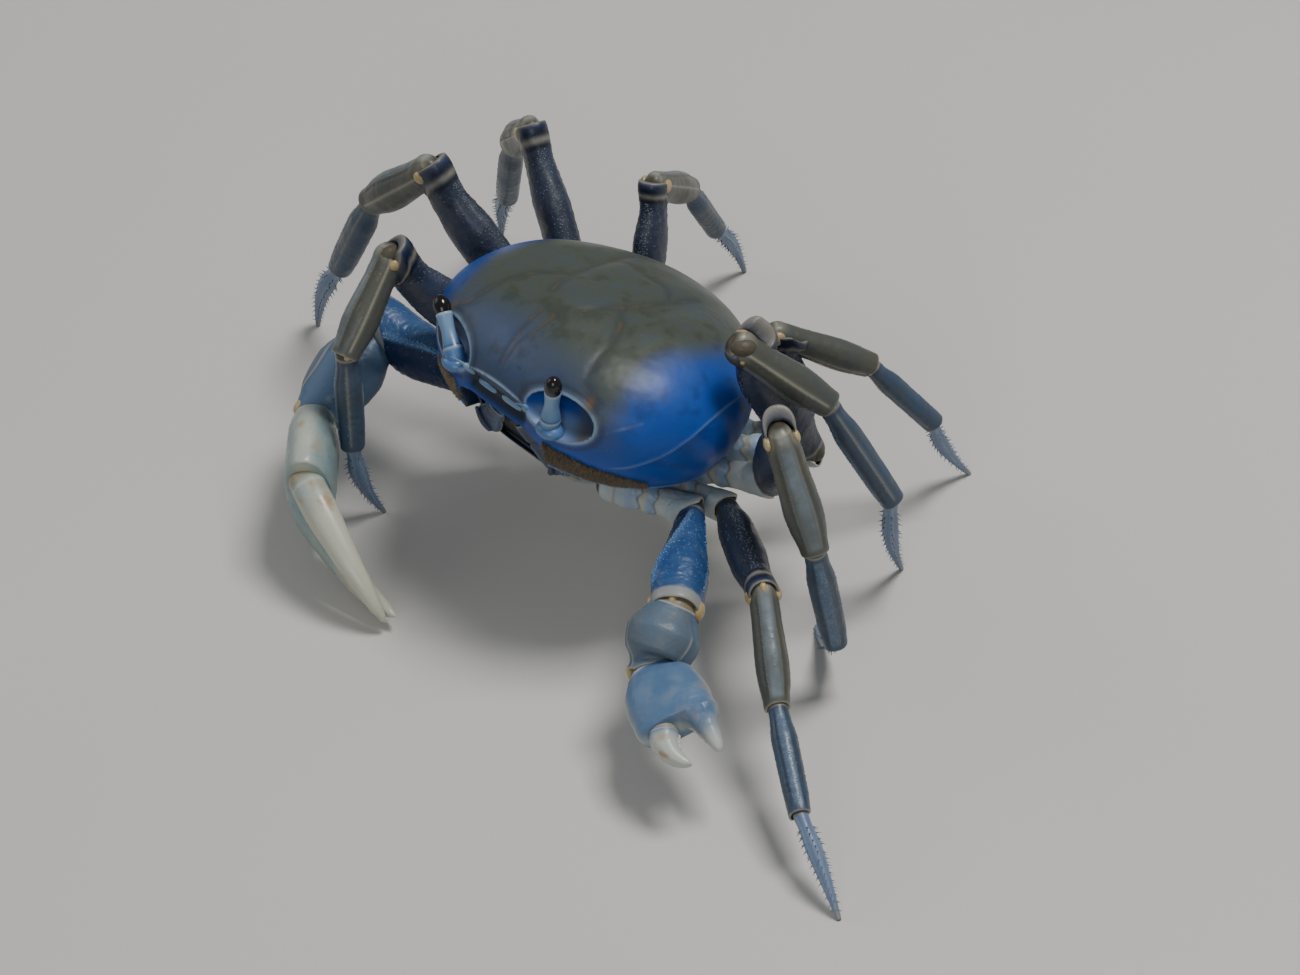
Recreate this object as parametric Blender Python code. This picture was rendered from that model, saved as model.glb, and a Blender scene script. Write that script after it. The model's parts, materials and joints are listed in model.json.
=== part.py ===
"""Blue land crab in a high standing pose, life size: closed solids, one object for each part.

Metres, +X the crab's left, -Y its front, +Z up, floor at z = 0.
"""
import math
import random

import bmesh
import bpy
from mathutils import Matrix, Vector

# driving sizes
MM = 0.001
SHELL_WIDTH = 100.0 * MM
SHELL_CENTRE = Vector((0.0, 0.0, 0.68 * SHELL_WIDTH))
NOSE_UP = 16.0
GAP = 0.3 * MM
FLAT = 1.0 * MM
BODY_NAME = "blue_land_crab"
SEED = 7

# carapace, in its own frame before it is tilted
HALF = 0.50 * SHELL_WIDTH
FRONT = 0.38 * SHELL_WIDTH
REAR = 0.42 * SHELL_WIDTH
TOP = 0.24 * SHELL_WIDTH
DEEP = 0.30 * SHELL_WIDTH
REAR_NARROWING = 0.2
RIM_DROP = 0.16 * SHELL_WIDTH
RIM_RISE = 0.09 * SHELL_WIDTH
SHELL_STEPS = 40
SHELL_RINGS = 10
ORBIT_AT = Vector((24.0, -37.5, 3.5)) * MM
ORBIT_HALF = Vector((12.0, 8.5, 6.8)) * MM
ORBIT_TURN = 18.0
RIM_STEPS = 14
RIM_RADIUS = 0.9 * MM
RIM_SIDES = 5
STALK_AT = Vector((20.5, -35.0, -0.5)) * MM
STALK_RADIUS = 2.9 * MM
STALK_LENGTH = 14.6 * MM
# distance from the base and radius along a stalk, in millimetres
STALK_FORM = ((2.4, 2.9), (5.0, 2.6), (8.0, 2.2), (11.0, 2.3), (12.6, 2.3))
STALK_WAYS = {1: (20.0, 80.0), -1: (156.0, 42.0)}
EYE_RADIUS = 2.5 * MM
EYE_LENGTH = 3.5 * MM
ANTENNA_AT = Vector((12.0, -36.2, 0.5)) * MM
ANTENNA_WAY = Vector((0.25, -0.8, 0.55))
# reach and radius along an antenna, in millimetres
ANTENNA_FORM = ((-1.5, 1.3), (1.5, 1.1), (2.2, 0.6), (8.5, 0.35))
MOUTH_HALF = 17.5 * MM
MOUTH_TOP = -6.0 * MM
MOUTH_FRONT = -32.0 * MM
MOUTH_BACK = -20.0 * MM
MOUTH_FLOOR = -25.0 * MM
MOUTH_SLOPE = 0.6
# the mouth plates: upper and lower end, gap to the mouth's face, half thickness, and (share, half width)
PLATE_TOP = (5.0, -9.0)
PLATE_END = (15.6, -21.0)
PLATE_OFF = 1.35 * MM
PLATE_THICK = 1.0 * MM
PLATE_FORM = ((0.0, 2.4), (0.14, 3.5), (0.31, 3.7), (0.37, 3.0), (0.44, 4.1), (0.72, 4.6), (1.0, 3.0))

# the breast plates: half width, middle and half length seen from above, lowest point and its rise
# toward the rear, and (share of depth, share of size)
BREAST_HALF = 26.0 * MM
BREAST_MIDDLE = 5.0 * MM
BREAST_REACH = 33.0 * MM
BREAST_LOW = -30.5 * MM
BREAST_RISE = 5.0 * MM
BREAST_STEPS = 20
BREAST_FORM = ((0.0, 0.50), (0.0, 0.86), (0.10, 0.98), (0.34, 1.0), (0.62, 0.92), (0.85, 0.70), (1.0, 0.38))

# the folded flap: (y, z, half width) from the rear edge forward under the body, in millimetres
FLAP_THICK = 1.3 * MM
FLAP_PATH = ((40.5, -9.0, 15.0), (40.0, -14.0, 15.5), (35.5, -22.0, 14.0), (27.0, -28.0, 12.0),
             (16.0, -31.0, 9.5), (6.0, -32.0, 7.5), (-3.0, -32.2, 5.5), (-9.0, -31.8, 2.5))

# limbs: how rings are cut
RING = 10
BALL_ANGLES = (30.0, 62.0)
# near end of hip, merus, carpus, propodus and dactyl as a share of the segment before
LEG_BALLS = ((0.9, 0.9), (0.8, 0.8), (0.74, 0.70), (0.64, 0.62), (0.64, 0.62))
WALL = 1.0 * MM
KEEL = 0.10
CONDYLE = 1.7 * MM
SPINE_ROWS = 3
SPINES_IN_ROW = 3
SPINE_LENGTH = 1.7 * MM
SPINE_RADIUS = 0.5 * MM
TEETH = (0.22, 0.36, 0.50, 0.64, 0.77)

# share of length, share of half height, share of half thickness, along each kind of segment
HIP_FORM = ((0.28, 0.95, 0.95), (0.56, 0.78, 0.84))
MERUS_FORM = ((0.12, 0.68, 0.74), (0.30, 0.98, 1.0), (0.60, 1.05, 1.04), (0.84, 0.84, 0.84))
CARPUS_FORM = ((0.18, 0.80, 0.84), (0.40, 0.95, 0.97), (0.64, 1.06, 1.05))
PROPODUS_FORM = ((0.14, 0.78, 0.80), (0.34, 1.0, 1.0), (0.70, 0.97, 0.97))
CLAW_MERUS_FORM = ((0.14, 0.52, 0.54), (0.40, 0.72, 0.72), (0.70, 0.95, 0.95))
PALM_FORM = ((0.14, 0.68, 0.85), (0.38, 0.92, 1.0), (0.72, 1.0, 1.0), (1.0, 0.98, 0.92))
FIXED_FORM = ((0.35, 0.28, 0.58), (0.7, 0.18, 0.40), (0.93, 0.09, 0.2))
FINGER_FORM = ((0.14, 0.36, 0.72), (0.35, 0.29, 0.62), (0.62, 0.21, 0.46), (0.85, 0.13, 0.28),
               (0.96, 0.06, 0.15))
CLAW_CARPUS_FORM = ((0.22, 0.80, 0.80), (0.48, 1.0, 1.0), (0.74, 0.92, 0.9))
# the end round the next joint: distance from the joint in its radii, and share of its size
END_FORM = ((-0.8, 0.94), (0.05, 1.0), (0.5, 0.6))
DACTYL_FORM = ((0.14, 0.80, 0.85), (0.34, 1.0, 1.0), (0.62, 0.72, 0.75), (0.86, 0.40, 0.45))

# colour and roughness of hip, merus, carpus, propodus and dactyl
LEG_LOOKS = (
    ((0.45, 0.50, 0.46), 0.5),
    ((0.03, 0.05, 0.14), 0.45),
    ((0.16, 0.19, 0.19), 0.45),
    ((0.10, 0.17, 0.30), 0.45),
    ((0.35, 0.40, 0.55), 0.5),
)
BLUE = ((0.05, 0.20, 0.55), 0.4)
PALE = ((0.45, 0.52, 0.50), 0.4)

# per pair: half height and half thickness of hip, merus, carpus, propodus and dactyl
LEG_SIZES = {
    2: ((5.0, 3.6), (6.4, 5.1), (4.9, 4.3), (4.0, 3.5), (2.4, 2.2)),
    3: ((5.2, 3.8), (7.2, 5.3), (5.4, 5.0), (4.2, 3.9), (2.5, 2.3)),
    4: ((5.0, 3.8), (6.6, 4.9), (5.0, 4.4), (3.9, 3.4), (2.3, 2.1)),
    5: ((4.8, 3.6), (5.6, 4.5), (4.4, 3.8), (3.4, 3.0), (2.1, 1.9)),
}

# pair, socket in the underside, end of the hip, then (length, heading, pitch) of merus, carpus
# and propodus, then (length, heading) of the dactyl, which always reaches the floor
LEGS = {
    "leg_2_left": (2, (25, -5, 43.5), (44, 6, 37), (50.6, -28, 11), (31, -35, -35), (33, -31, -21), (32, -20)),
    "leg_3_left": (3, (25, 6, 41.5), (48.5, 18, 42), (57, -30, 51), (32, -8, -67), (38, 100, -82), (34, 152)),
    "leg_4_left": (4, (23, 17, 39.5), (50, 33, 45), (54, -89, 67), (30, 49, -44), (40, 54, -67), (39, 135)),
    "leg_5_left": (5, (18, 27, 37), (34.5, 42, 34), (38, -145, 83), (30, 61, -34), (30, 61, -56), (33.5, 101)),
    "leg_2_right": (2, (-25, -5, 43.5), (-46, 5, 37), (54, -125, 53), (29, -78, -41), (32, -78, -86), (30, 80)),
    "leg_3_right": (3, (-25, 6, 41.5), (-48, 17, 41), (56, -166, 50), (32, -170, -42), (37, -172, -62), (33, -174)),
    "leg_4_right": (4, (-23, 17, 39.5), (-46, 30, 40), (54, 160, 50), (31, 158, -42), (36, 156, -62), (34, 154)),
    "leg_5_right": (5, (-18, 27, 37), (-34, 41, 35), (42, 120, 62), (28, 118, -40), (30, 116, -60), (32, 114)),
}

# claws: socket, end of the hip, merus, carpus and palm as (length, heading, pitch), direction of
# the palm's upper edge as (heading, pitch), palm half height and half thickness, finger length,
# heading and pitch, the same for the fixed finger, and bow: how far the finger bows up, both bow
# outward and the fixed finger bows down
CLAWS = {
    "claw_left": dict(
        socket=(22, -16, 45), hip=(43, -5, 41.5), merus=(36, -48, -5), carpus=(19, -70, -33),
        palm=(22, -19, -5), upper=(-110, -18), half=(11.8, 6.2),
        finger=(13.4, -5, -10), fixed=(13.8, -15, -16), bow=(3.3, 0.0, 0.6),
        sizes=((5.2, 4.2), (8.4, 7.8), (11.2, 10.3)),
    ),
    "claw_right": dict(
        socket=(-22, -16, 45), hip=(-39, -9, 38), merus=(43, -170, 5), carpus=(32, -79, -21),
        palm=(28, -44, -14), upper=(-44, 76), half=(16.0, 7.0),
        finger=(46, -7, -35), fixed=(43, -6, -14), bow=(5.0, 4.0, 5.0),
        sizes=((5.6, 4.4), (9.0, 7.6), (10.5, 8.4)),
    ),
}


def clear_scene():
    """Removes every object of the scene."""
    for item in list(bpy.data.objects):
        bpy.data.objects.remove(item, do_unlink=True)


def material(name, colour, roughness, metallic=0.0):
    """Returns a Principled material."""
    made = bpy.data.materials.new(name)
    made.use_nodes = True
    shader = made.node_tree.nodes["Principled BSDF"]
    shader.inputs["Base Color"].default_value = (*colour, 1.0)
    shader.inputs["Roughness"].default_value = roughness
    shader.inputs["Metallic"].default_value = metallic
    return made


def place(bm, name, look, home):
    """Turns a bmesh into a smooth-shaded object with its own material."""
    bmesh.ops.recalc_face_normals(bm, faces=bm.faces)
    mesh = bpy.data.meshes.new(name)
    bm.to_mesh(mesh)
    bm.free()
    mesh.shade_smooth()
    mesh.set_sharp_from_angle(angle=math.radians(50.0))
    made = bpy.data.objects.new(name, mesh)
    if look:
        mesh.materials.append(material(name + "_look", *look))
    home.objects.link(made)
    return made


def aim(heading, pitch):
    """Returns the unit vector with this heading and pitch in degrees."""
    h, p = math.radians(heading), math.radians(pitch)
    return Vector((math.cos(h) * math.cos(p), math.sin(h) * math.cos(p), math.sin(p)))


def tilt(point):
    """Carries a point of the shell's own frame to its place above the floor."""
    return Matrix.Rotation(math.radians(-NOSE_UP), 3, "X") @ Vector(point) + SHELL_CENTRE


def frame_of(along, side):
    """Returns (along, up, side), square to each other."""
    o = along.normalized()
    n = (side - o * side.dot(o)).normalized()
    return o, n.cross(o), n


def ring(centre, up, side, half_up, half_side, power=2.3, count=RING, keel=0.0):
    """Returns a superelliptic ring of points, the first on its upper edge, which a keel lifts."""
    points = []
    for k in range(count):
        a = 2.0 * math.pi * k / count
        c, s = math.cos(a), math.sin(a)
        u = math.copysign(abs(c) ** (2.0 / power), c) * half_up
        v = math.copysign(abs(s) ** (2.0 / power), s) * half_side
        if k == 0:
            u *= 1.0 + keel
        points.append(centre + up * u + side * v)
    return points


def loft(rings, start=None, end=None):
    """Skins a row of equal rings with triangles, with a point or a flat cap at each end."""
    bm = bmesh.new()
    rows = []
    for points in rings:
        if rows:
            last = [v.co for v in rows[-1]]
            turns = range(len(points))
            best = min(turns, key=lambda t: sum((points[(k + t) % len(points)] - p).length_squared
                                                for k, p in enumerate(last)))
            points = points[best:] + points[:best]
        rows.append([bm.verts.new(p) for p in points])
    count = len(rows[0])
    for one, two in zip(rows, rows[1:]):
        for k in range(count):
            n = (k + 1) % count
            bm.faces.new((one[k], one[n], two[n]))
            bm.faces.new((one[k], two[n], two[k]))
    for row, pole in ((rows[0], start), (rows[-1], end)):
        if pole is None:
            bm.faces.new(row)
            continue
        tip = bm.verts.new(pole)
        for k in range(count):
            bm.faces.new((row[k], row[(k + 1) % count], tip))
    return bm


def ball_rings(centre, frame, up, flat, grow, angles=BALL_ANGLES):
    """Rings and pole of a joint's ball, round in the limb's plane and flatter across it."""
    o, e, n = frame
    up, flat = up + grow, flat + grow
    rings = []
    for angle in angles:
        t = math.radians(angle)
        rings.append(ring(centre - o * up * math.cos(t), e, n, up * math.sin(t), flat * math.sin(t), 2.0))
    return rings, centre - o * up


def near_end(start, end, side, ball, form, half, grow=0.0, reach=1.0, keel=0.0):
    """Ball and body rings of a segment, as far as a share of its length."""
    frame = frame_of(end - start, side)
    rings, pole = ball_rings(start, frame, *ball, grow)
    for f, u, s in form:
        if f <= reach:
            centre = start + (end - start) * f
            rings.append(ring(centre, frame[1], frame[2], half[0] * u + grow, half[1] * s + grow, keel=keel))
    return rings, pole


def far_end(start, end, side, ball, form):
    """Rings of the end that the next segment's socket is cut into."""
    o, e, n = frame_of(end - start, side)
    up, flat = ball[0] + WALL, ball[1] + WALL
    rings = [ring(end + o * ball[0] * f, e, n, up * s, flat * s) for f, s in form]
    return rings, end + o * ball[0] * 0.6


def segment(start, end, side, ball, form, half, next_ball, shift, keel=0.0):
    """One limb segment up to its far end, which may sit to the outer side of the joint."""
    rings, pole = near_end(start, end, side, ball, form, half, keel=keel)
    up = frame_of(end - start, side)[1]
    last, top = far_end(start, end + up * shift, side, next_ball, END_FORM if form is HIP_FORM else END_FORM[1:])
    return loft(rings + last, pole, top)


def dactyl_rings(start, tip, side, ball, half, grow=0.0, reach=1.0):
    """Rings of a walking leg's last segment, a little bowed."""
    frame = frame_of(tip - start, side)
    rings, pole = ball_rings(start, frame, *ball, grow)
    for f, u, s in DACTYL_FORM:
        if f <= reach:
            bow = frame[1] * (half[0] * 0.9 * math.sin(math.pi * f))
            centre = start + (tip - start) * f + bow
            rings.append(ring(centre, frame[1], frame[2], half[0] * u + grow, half[1] * s + grow))
    return rings, pole


def spine(at, way, radius, length):
    """A four-sided pyramid whose foot stands inside the surface."""
    bm = bmesh.new()
    turn = way.to_track_quat("Z", "Y").to_matrix().to_4x4()
    middle = at + way * (length - radius) / 2
    bmesh.ops.create_cone(bm, cap_ends=True, segments=4, radius1=radius, radius2=0.0,
                          depth=length + radius, matrix=Matrix.Translation(middle) @ turn)
    return bm


def join_pieces(target, pieces, home):
    """Fuses small pieces into an object by one union."""
    tools = [place(bm, "piece", None, home) for bm in pieces]
    boolean(target, tools, "UNION", "MANIFOLD")


def condyles(end, side, ball):
    """The two hinge knobs at the sides of a joint."""
    knobs = []
    for turn in (1.0, -1.0):
        bm = bmesh.new()
        at = end + side * turn * (ball[1] + 0.5 * WALL)
        bmesh.ops.create_icosphere(bm, subdivisions=1, radius=CONDYLE, matrix=Matrix.Translation(at))
        knobs.append(bm)
    return knobs


def dactyl_spines(start, tip, side, half):
    """Rows of short spines along a walking leg's last segment."""
    o, e, n = frame_of(tip - start, side)
    pieces = []
    for row in range(SPINE_ROWS):
        turn = math.radians(90.0 + 360.0 * row / SPINE_ROWS)
        for k in range(SPINES_IN_ROW):
            f = 0.36 + 0.17 * k + random.uniform(-0.02, 0.02)
            thin = 1.0 - 0.75 * max(0.0, f - 0.34) / 0.6
            bow = e * (half[0] * 0.9 * math.sin(math.pi * f))
            out = e * math.cos(turn) + n * math.sin(turn)
            skin = e * (math.cos(turn) * half[0] * thin) + n * (math.sin(turn) * half[1] * thin)
            way = (out + o * 0.45).normalized()
            at = start + (tip - start) * f + bow + skin * 0.75
            radius, length = SPINE_RADIUS * (0.7 + 0.5 * thin), SPINE_LENGTH * (0.6 + 0.5 * thin)
            pieces.append(spine(at, way, radius, length))
    return pieces


def cut_socket(target, rings, pole, home):
    """Cuts the socket for a neighbour given by its grown rings."""
    boolean(target, [place(loft(rings, pole), "socket_cutter", None, home)], "DIFFERENCE")


def ellipsoid(frame_matrix, steps=12, rows=8):
    """A unit ball carried by a matrix."""
    bm = bmesh.new()
    bmesh.ops.create_uvsphere(bm, u_segments=steps, v_segments=rows, radius=1.0, matrix=frame_matrix)
    return bm


def boolean(target, tools, operation, solver="EXACT"):
    """Applies one Boolean of a collection of tool objects and removes them."""
    pool = bpy.data.collections.new("cutters_" + target.name)
    bpy.context.scene.collection.children.link(pool)
    for tool in tools:
        for old in list(tool.users_collection):
            old.objects.unlink(tool)
        pool.objects.link(tool)
        tool.hide_render = True
        tool.display_type = "WIRE"
    step = target.modifiers.new("join", "BOOLEAN")
    step.operation = operation
    step.operand_type = "COLLECTION"
    step.collection = pool
    step.solver = solver
    bpy.context.view_layer.update()
    graph = bpy.context.evaluated_depsgraph_get()
    shaped = bpy.data.meshes.new_from_object(target.evaluated_get(graph))
    target.modifiers.clear()
    old = target.data
    target.data = shaped
    bpy.data.meshes.remove(old)
    for tool in list(pool.objects):
        bpy.data.objects.remove(tool, do_unlink=True)
    bpy.data.collections.remove(pool)
    keep_largest(target)


def keep_largest(target):
    """Keeps an object's largest connected surface."""
    bm = bmesh.new()
    bm.from_mesh(target.data)
    bmesh.ops.remove_doubles(bm, verts=bm.verts, dist=0.02 * MM)
    bmesh.ops.dissolve_degenerate(bm, edges=bm.edges, dist=0.02 * MM)
    seen, groups = set(), []
    for first in bm.faces:
        if first in seen:
            continue
        group, queue = [], [first]
        seen.add(first)
        while queue:
            face = queue.pop()
            group.append(face)
            for edge in face.edges:
                for other in edge.link_faces:
                    if other not in seen:
                        seen.add(other)
                        queue.append(other)
        groups.append(group)
    groups.sort(key=len, reverse=True)
    loose = [face for group in groups[1:] for face in group]
    bmesh.ops.delete(bm, geom=loose, context="FACES")
    bm.to_mesh(target.data)
    bm.free()
    target.data.shade_smooth()
    target.data.set_sharp_from_angle(angle=math.radians(50.0))


def outline(angle):
    """Radius of the shell's outline seen from above."""
    c, s = math.cos(angle), math.sin(angle)
    back = s > 0
    b, p = (REAR, 2.2) if back else (FRONT, 2.35)
    return (abs(c / HALF) ** p + abs(s / b) ** p) ** (-1.0 / p)


def rim_height(y):
    """Height of the shell's lower edge, which rises toward the rear."""
    return -RIM_DROP + RIM_RISE * (max(0.0, y) / REAR) ** 1.5


def swell(x, y):
    """Low lobes of the shell's upper face."""
    x, y = abs(x) / HALF, y / REAR
    lobe = 0.035 * math.exp(-((x - 0.62) ** 2 + (y - 0.1) ** 2) / 0.09)
    lobe += 0.03 * math.exp(-(x ** 2 + (y + 0.35) ** 2) / 0.05)
    lobe -= 0.03 * math.exp(-((x - 0.30) ** 2 / 0.012 + (y - 0.12) ** 2 / 0.12))
    return lobe * TOP * 2.0


def shell_point(angle, lift):
    """Point of the shell's surface at a turn and a lift angle."""
    upper = lift >= 0
    q = 2.3 if upper else 2.0
    reach = outline(angle) * math.cos(lift) ** (2.0 / q)
    height = (TOP if upper else -DEEP) * abs(math.sin(lift)) ** (2.0 / q)
    x, y = math.cos(angle) * reach, math.sin(angle) * reach
    x *= 1.0 - REAR_NARROWING * (max(0.0, y) / REAR) ** 1.2
    if upper:
        height += swell(x, y) * math.sin(lift)
    return Vector((x, y, height))


def floor_lift(angle):
    """Lift angle at which the shell reaches its lower edge."""
    low, high = -1.2, 0.0
    for _ in range(30):
        mid = (low + high) / 2
        point = shell_point(angle, mid)
        if point.z < rim_height(point.y):
            low = mid
        else:
            high = mid
    return high


def build_carapace(home):
    """The domed shell with its orbits, its mouth notch and its small antennae."""
    turns = [2.0 * math.pi * k / SHELL_STEPS for k in range(SHELL_STEPS)]
    lows = [floor_lift(t) for t in turns]
    rings = []
    for r in range(1, SHELL_RINGS + 1):
        share = r / SHELL_RINGS
        rings.append([tilt(shell_point(t, math.pi / 2 + (low - math.pi / 2) * share ** 0.85))
                      for t, low in zip(turns, lows)])
    for inset in (0.72, 0.36):
        row = []
        for t, low in zip(turns, lows):
            edge = shell_point(t, low)
            x, y = edge.x * inset, edge.y * inset
            row.append(tilt((x, y, rim_height(y))))
        rings.append(row)
    bm = loft(rings, tilt((0, 0, TOP + swell(0, 0))), tilt((0, 0, rim_height(0))))
    shell = place(bm, "carapace", ((0.035, 0.13, 0.42), 0.32), home)
    tools = []
    for side in (1, -1):
        at = Vector((ORBIT_AT.x * side, ORBIT_AT.y, ORBIT_AT.z))
        bowl = body_matrix(at, ORBIT_HALF, side * ORBIT_TURN)
        tools.append(place(ellipsoid(bowl, 16, 8), "orbit_cutter", None, home))
    bm = mouth_box(GAP, 12.0 * MM)
    tools.append(place(bm, "mouth_cutter", None, home))
    boolean(shell, tools, "DIFFERENCE")
    extras = [antenna(side) for side in (1, -1)] + [orbit_rim(side) for side in (1, -1)]
    join_pieces(shell, extras, home)
    return shell


def shell_value(point):
    """Below zero inside the shell, above zero outside it, with its lobes left out."""
    reach = math.hypot(point.x, point.y) / outline(math.atan2(point.y, point.x))
    power, high = (2.3, TOP) if point.z >= 0 else (2.0, DEEP)
    return reach ** power + (abs(point.z) / high) ** power - 1.0


def crossing(test, low, high):
    """Value between low and high at which a test turns from false to true."""
    for _ in range(24):
        mid = (low + high) / 2
        low, high = (low, mid) if test(mid) else (mid, high)
    return high


def orbit_edge(side, angle):
    """Point where the bowl of an orbit meets the shell's surface."""
    at = Vector((ORBIT_AT.x * side, ORBIT_AT.y, ORBIT_AT.z))
    turn = Matrix.Rotation(math.radians(side * ORBIT_TURN), 3, "Z")

    def on_shell(share):
        x, z = ORBIT_HALF.x * share * math.cos(angle), ORBIT_HALF.z * share * math.sin(angle)
        depth = crossing(lambda v: shell_value(at + turn @ Vector((x, -v, z))) > 0,
                         -ORBIT_HALF.y, 2 * ORBIT_HALF.y)
        return Vector((x, -depth, z))

    def outside(share):
        p = on_shell(share)
        return (p.x / ORBIT_HALF.x) ** 2 + (p.y / ORBIT_HALF.y) ** 2 + (p.z / ORBIT_HALF.z) ** 2 > 1.0

    return at + turn @ on_shell(crossing(outside, 0.3, 1.0))


def orbit_rim(side):
    """The raised edge round an orbit, a closed loop of rings."""
    path = [orbit_edge(side, 2.0 * math.pi * k / RIM_STEPS) for k in range(RIM_STEPS)]
    bm = bmesh.new()
    rows = []
    for k, at in enumerate(path):
        way = path[(k + 1) % RIM_STEPS] - path[k - 1]
        o, e, n = frame_of(way, at - Vector((at.x, at.y * 0.5, at.z)))
        rows.append([bm.verts.new(tilt(p)) for p in ring(at, e, n, RIM_RADIUS, RIM_RADIUS, 2.0, RIM_SIDES)])
    for one, two in zip(rows, rows[1:] + rows[:1]):
        for k in range(RIM_SIDES):
            n = (k + 1) % RIM_SIDES
            bm.faces.new((one[k], one[n], two[n], two[k]))
    return bm


def antenna(side):
    """A short feeler at the inner corner of an orbit."""
    rings = []
    for reach, radius in ANTENNA_FORM:
        centre = ANTENNA_AT + ANTENNA_WAY * reach * MM
        centre = Vector((centre.x * side, centre.y, centre.z))
        flat = ring(centre, Vector((0, 0, 1)), Vector((1, 0, 0)), radius * MM, radius * MM, 2.0, 6)
        rings.append([tilt(p) for p in flat])
    return loft(rings)


def body_matrix(at, half, turn):
    """Matrix that carries a unit ball into the shell's frame, then above the floor."""
    local = Matrix.Translation(at) @ Matrix.Rotation(math.radians(turn), 4, "Z")
    local = local @ Matrix.Diagonal((*half, 1.0))
    whole = Matrix.Translation(SHELL_CENTRE) @ Matrix.Rotation(math.radians(-NOSE_UP), 4, "X")
    return whole @ local


def mouth_box(grow, forward):
    """The block that carries the mouth, whose face slopes back, or the notch for it."""
    rows = []
    high, low = MOUTH_TOP + grow, MOUTH_FLOOR - grow
    middle, tall = (high + low) / 2, (high - low) / 2
    for y in (MOUTH_BACK + grow, MOUTH_FRONT - forward):
        centre, half = Vector((0, y, middle)), MOUTH_HALF + grow
        flat = ring(centre, Vector((0, 0, 1)), Vector((1, 0, 0)), tall, half, 5.0, 16)
        if rows and not forward:
            for point in flat:
                point.y += MOUTH_SLOPE * (MOUTH_TOP - point.z)
        rows.append([tilt(p) for p in flat])
    return loft(rows)


def build_underside(home):
    """The breast plates under the shell, with the mouth block in front."""
    rows = []
    for depth, share in BREAST_FORM:
        row = []
        for k in range(BREAST_STEPS):
            t = 2.0 * math.pi * k / BREAST_STEPS
            c, s = math.cos(t), math.sin(t)
            x = BREAST_HALF * share * math.copysign(abs(c) ** 0.85, c)
            y = (BREAST_MIDDLE + BREAST_REACH * math.copysign(abs(s) ** 0.9, s)) * share
            high = rim_height(y) - GAP
            low = BREAST_LOW + BREAST_RISE * max(0.0, y / REAR) ** 2
            row.append(tilt((x, y, high + (low - high) * depth)))
        rows.append(row)
    top, base = (0, 2.0 * MM, rim_height(2.0 * MM) - GAP), (0, 3.0 * MM, BREAST_LOW)
    under = place(loft(rows, tilt(top), tilt(base)), "underside", ((0.55, 0.56, 0.46), 0.5), home)
    boolean(under, [place(mouth_box(0.0, 0.0), "mouth_block", None, home)], "UNION")
    boolean(under, [place(mouth_wedge(), "mouth_wedge", None, home)], "DIFFERENCE")
    return under


def mouth_wedge():
    """The room before the mouth's sloping face, below its upper edge."""
    deep = 2.0 * MOUTH_HALF
    slope = math.atan(MOUTH_SLOPE)
    turn = Matrix.Rotation(slope, 4, "X")
    whole = Matrix.Translation(SHELL_CENTRE) @ Matrix.Rotation(math.radians(-NOSE_UP), 4, "X")
    whole = whole @ Matrix.Translation((0, MOUTH_FRONT, MOUTH_TOP)) @ turn
    bm = bmesh.new()
    bmesh.ops.create_cube(bm, size=1.0)
    for vert in bm.verts:
        x, y, z = vert.co
        vert.co = whole @ Vector((x * 2 * deep, (y - 0.5) * deep - 0.01 * MM, (z - 0.5) * deep))
    return bm


def bend_shift(before, after, up):
    """How far a segment's end moves to the outer side of a tightly folded joint."""
    bend = math.degrees(before.angle(after))
    return 0.85 * up * max(0.0, bend - 50.0) / 90.0


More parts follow.
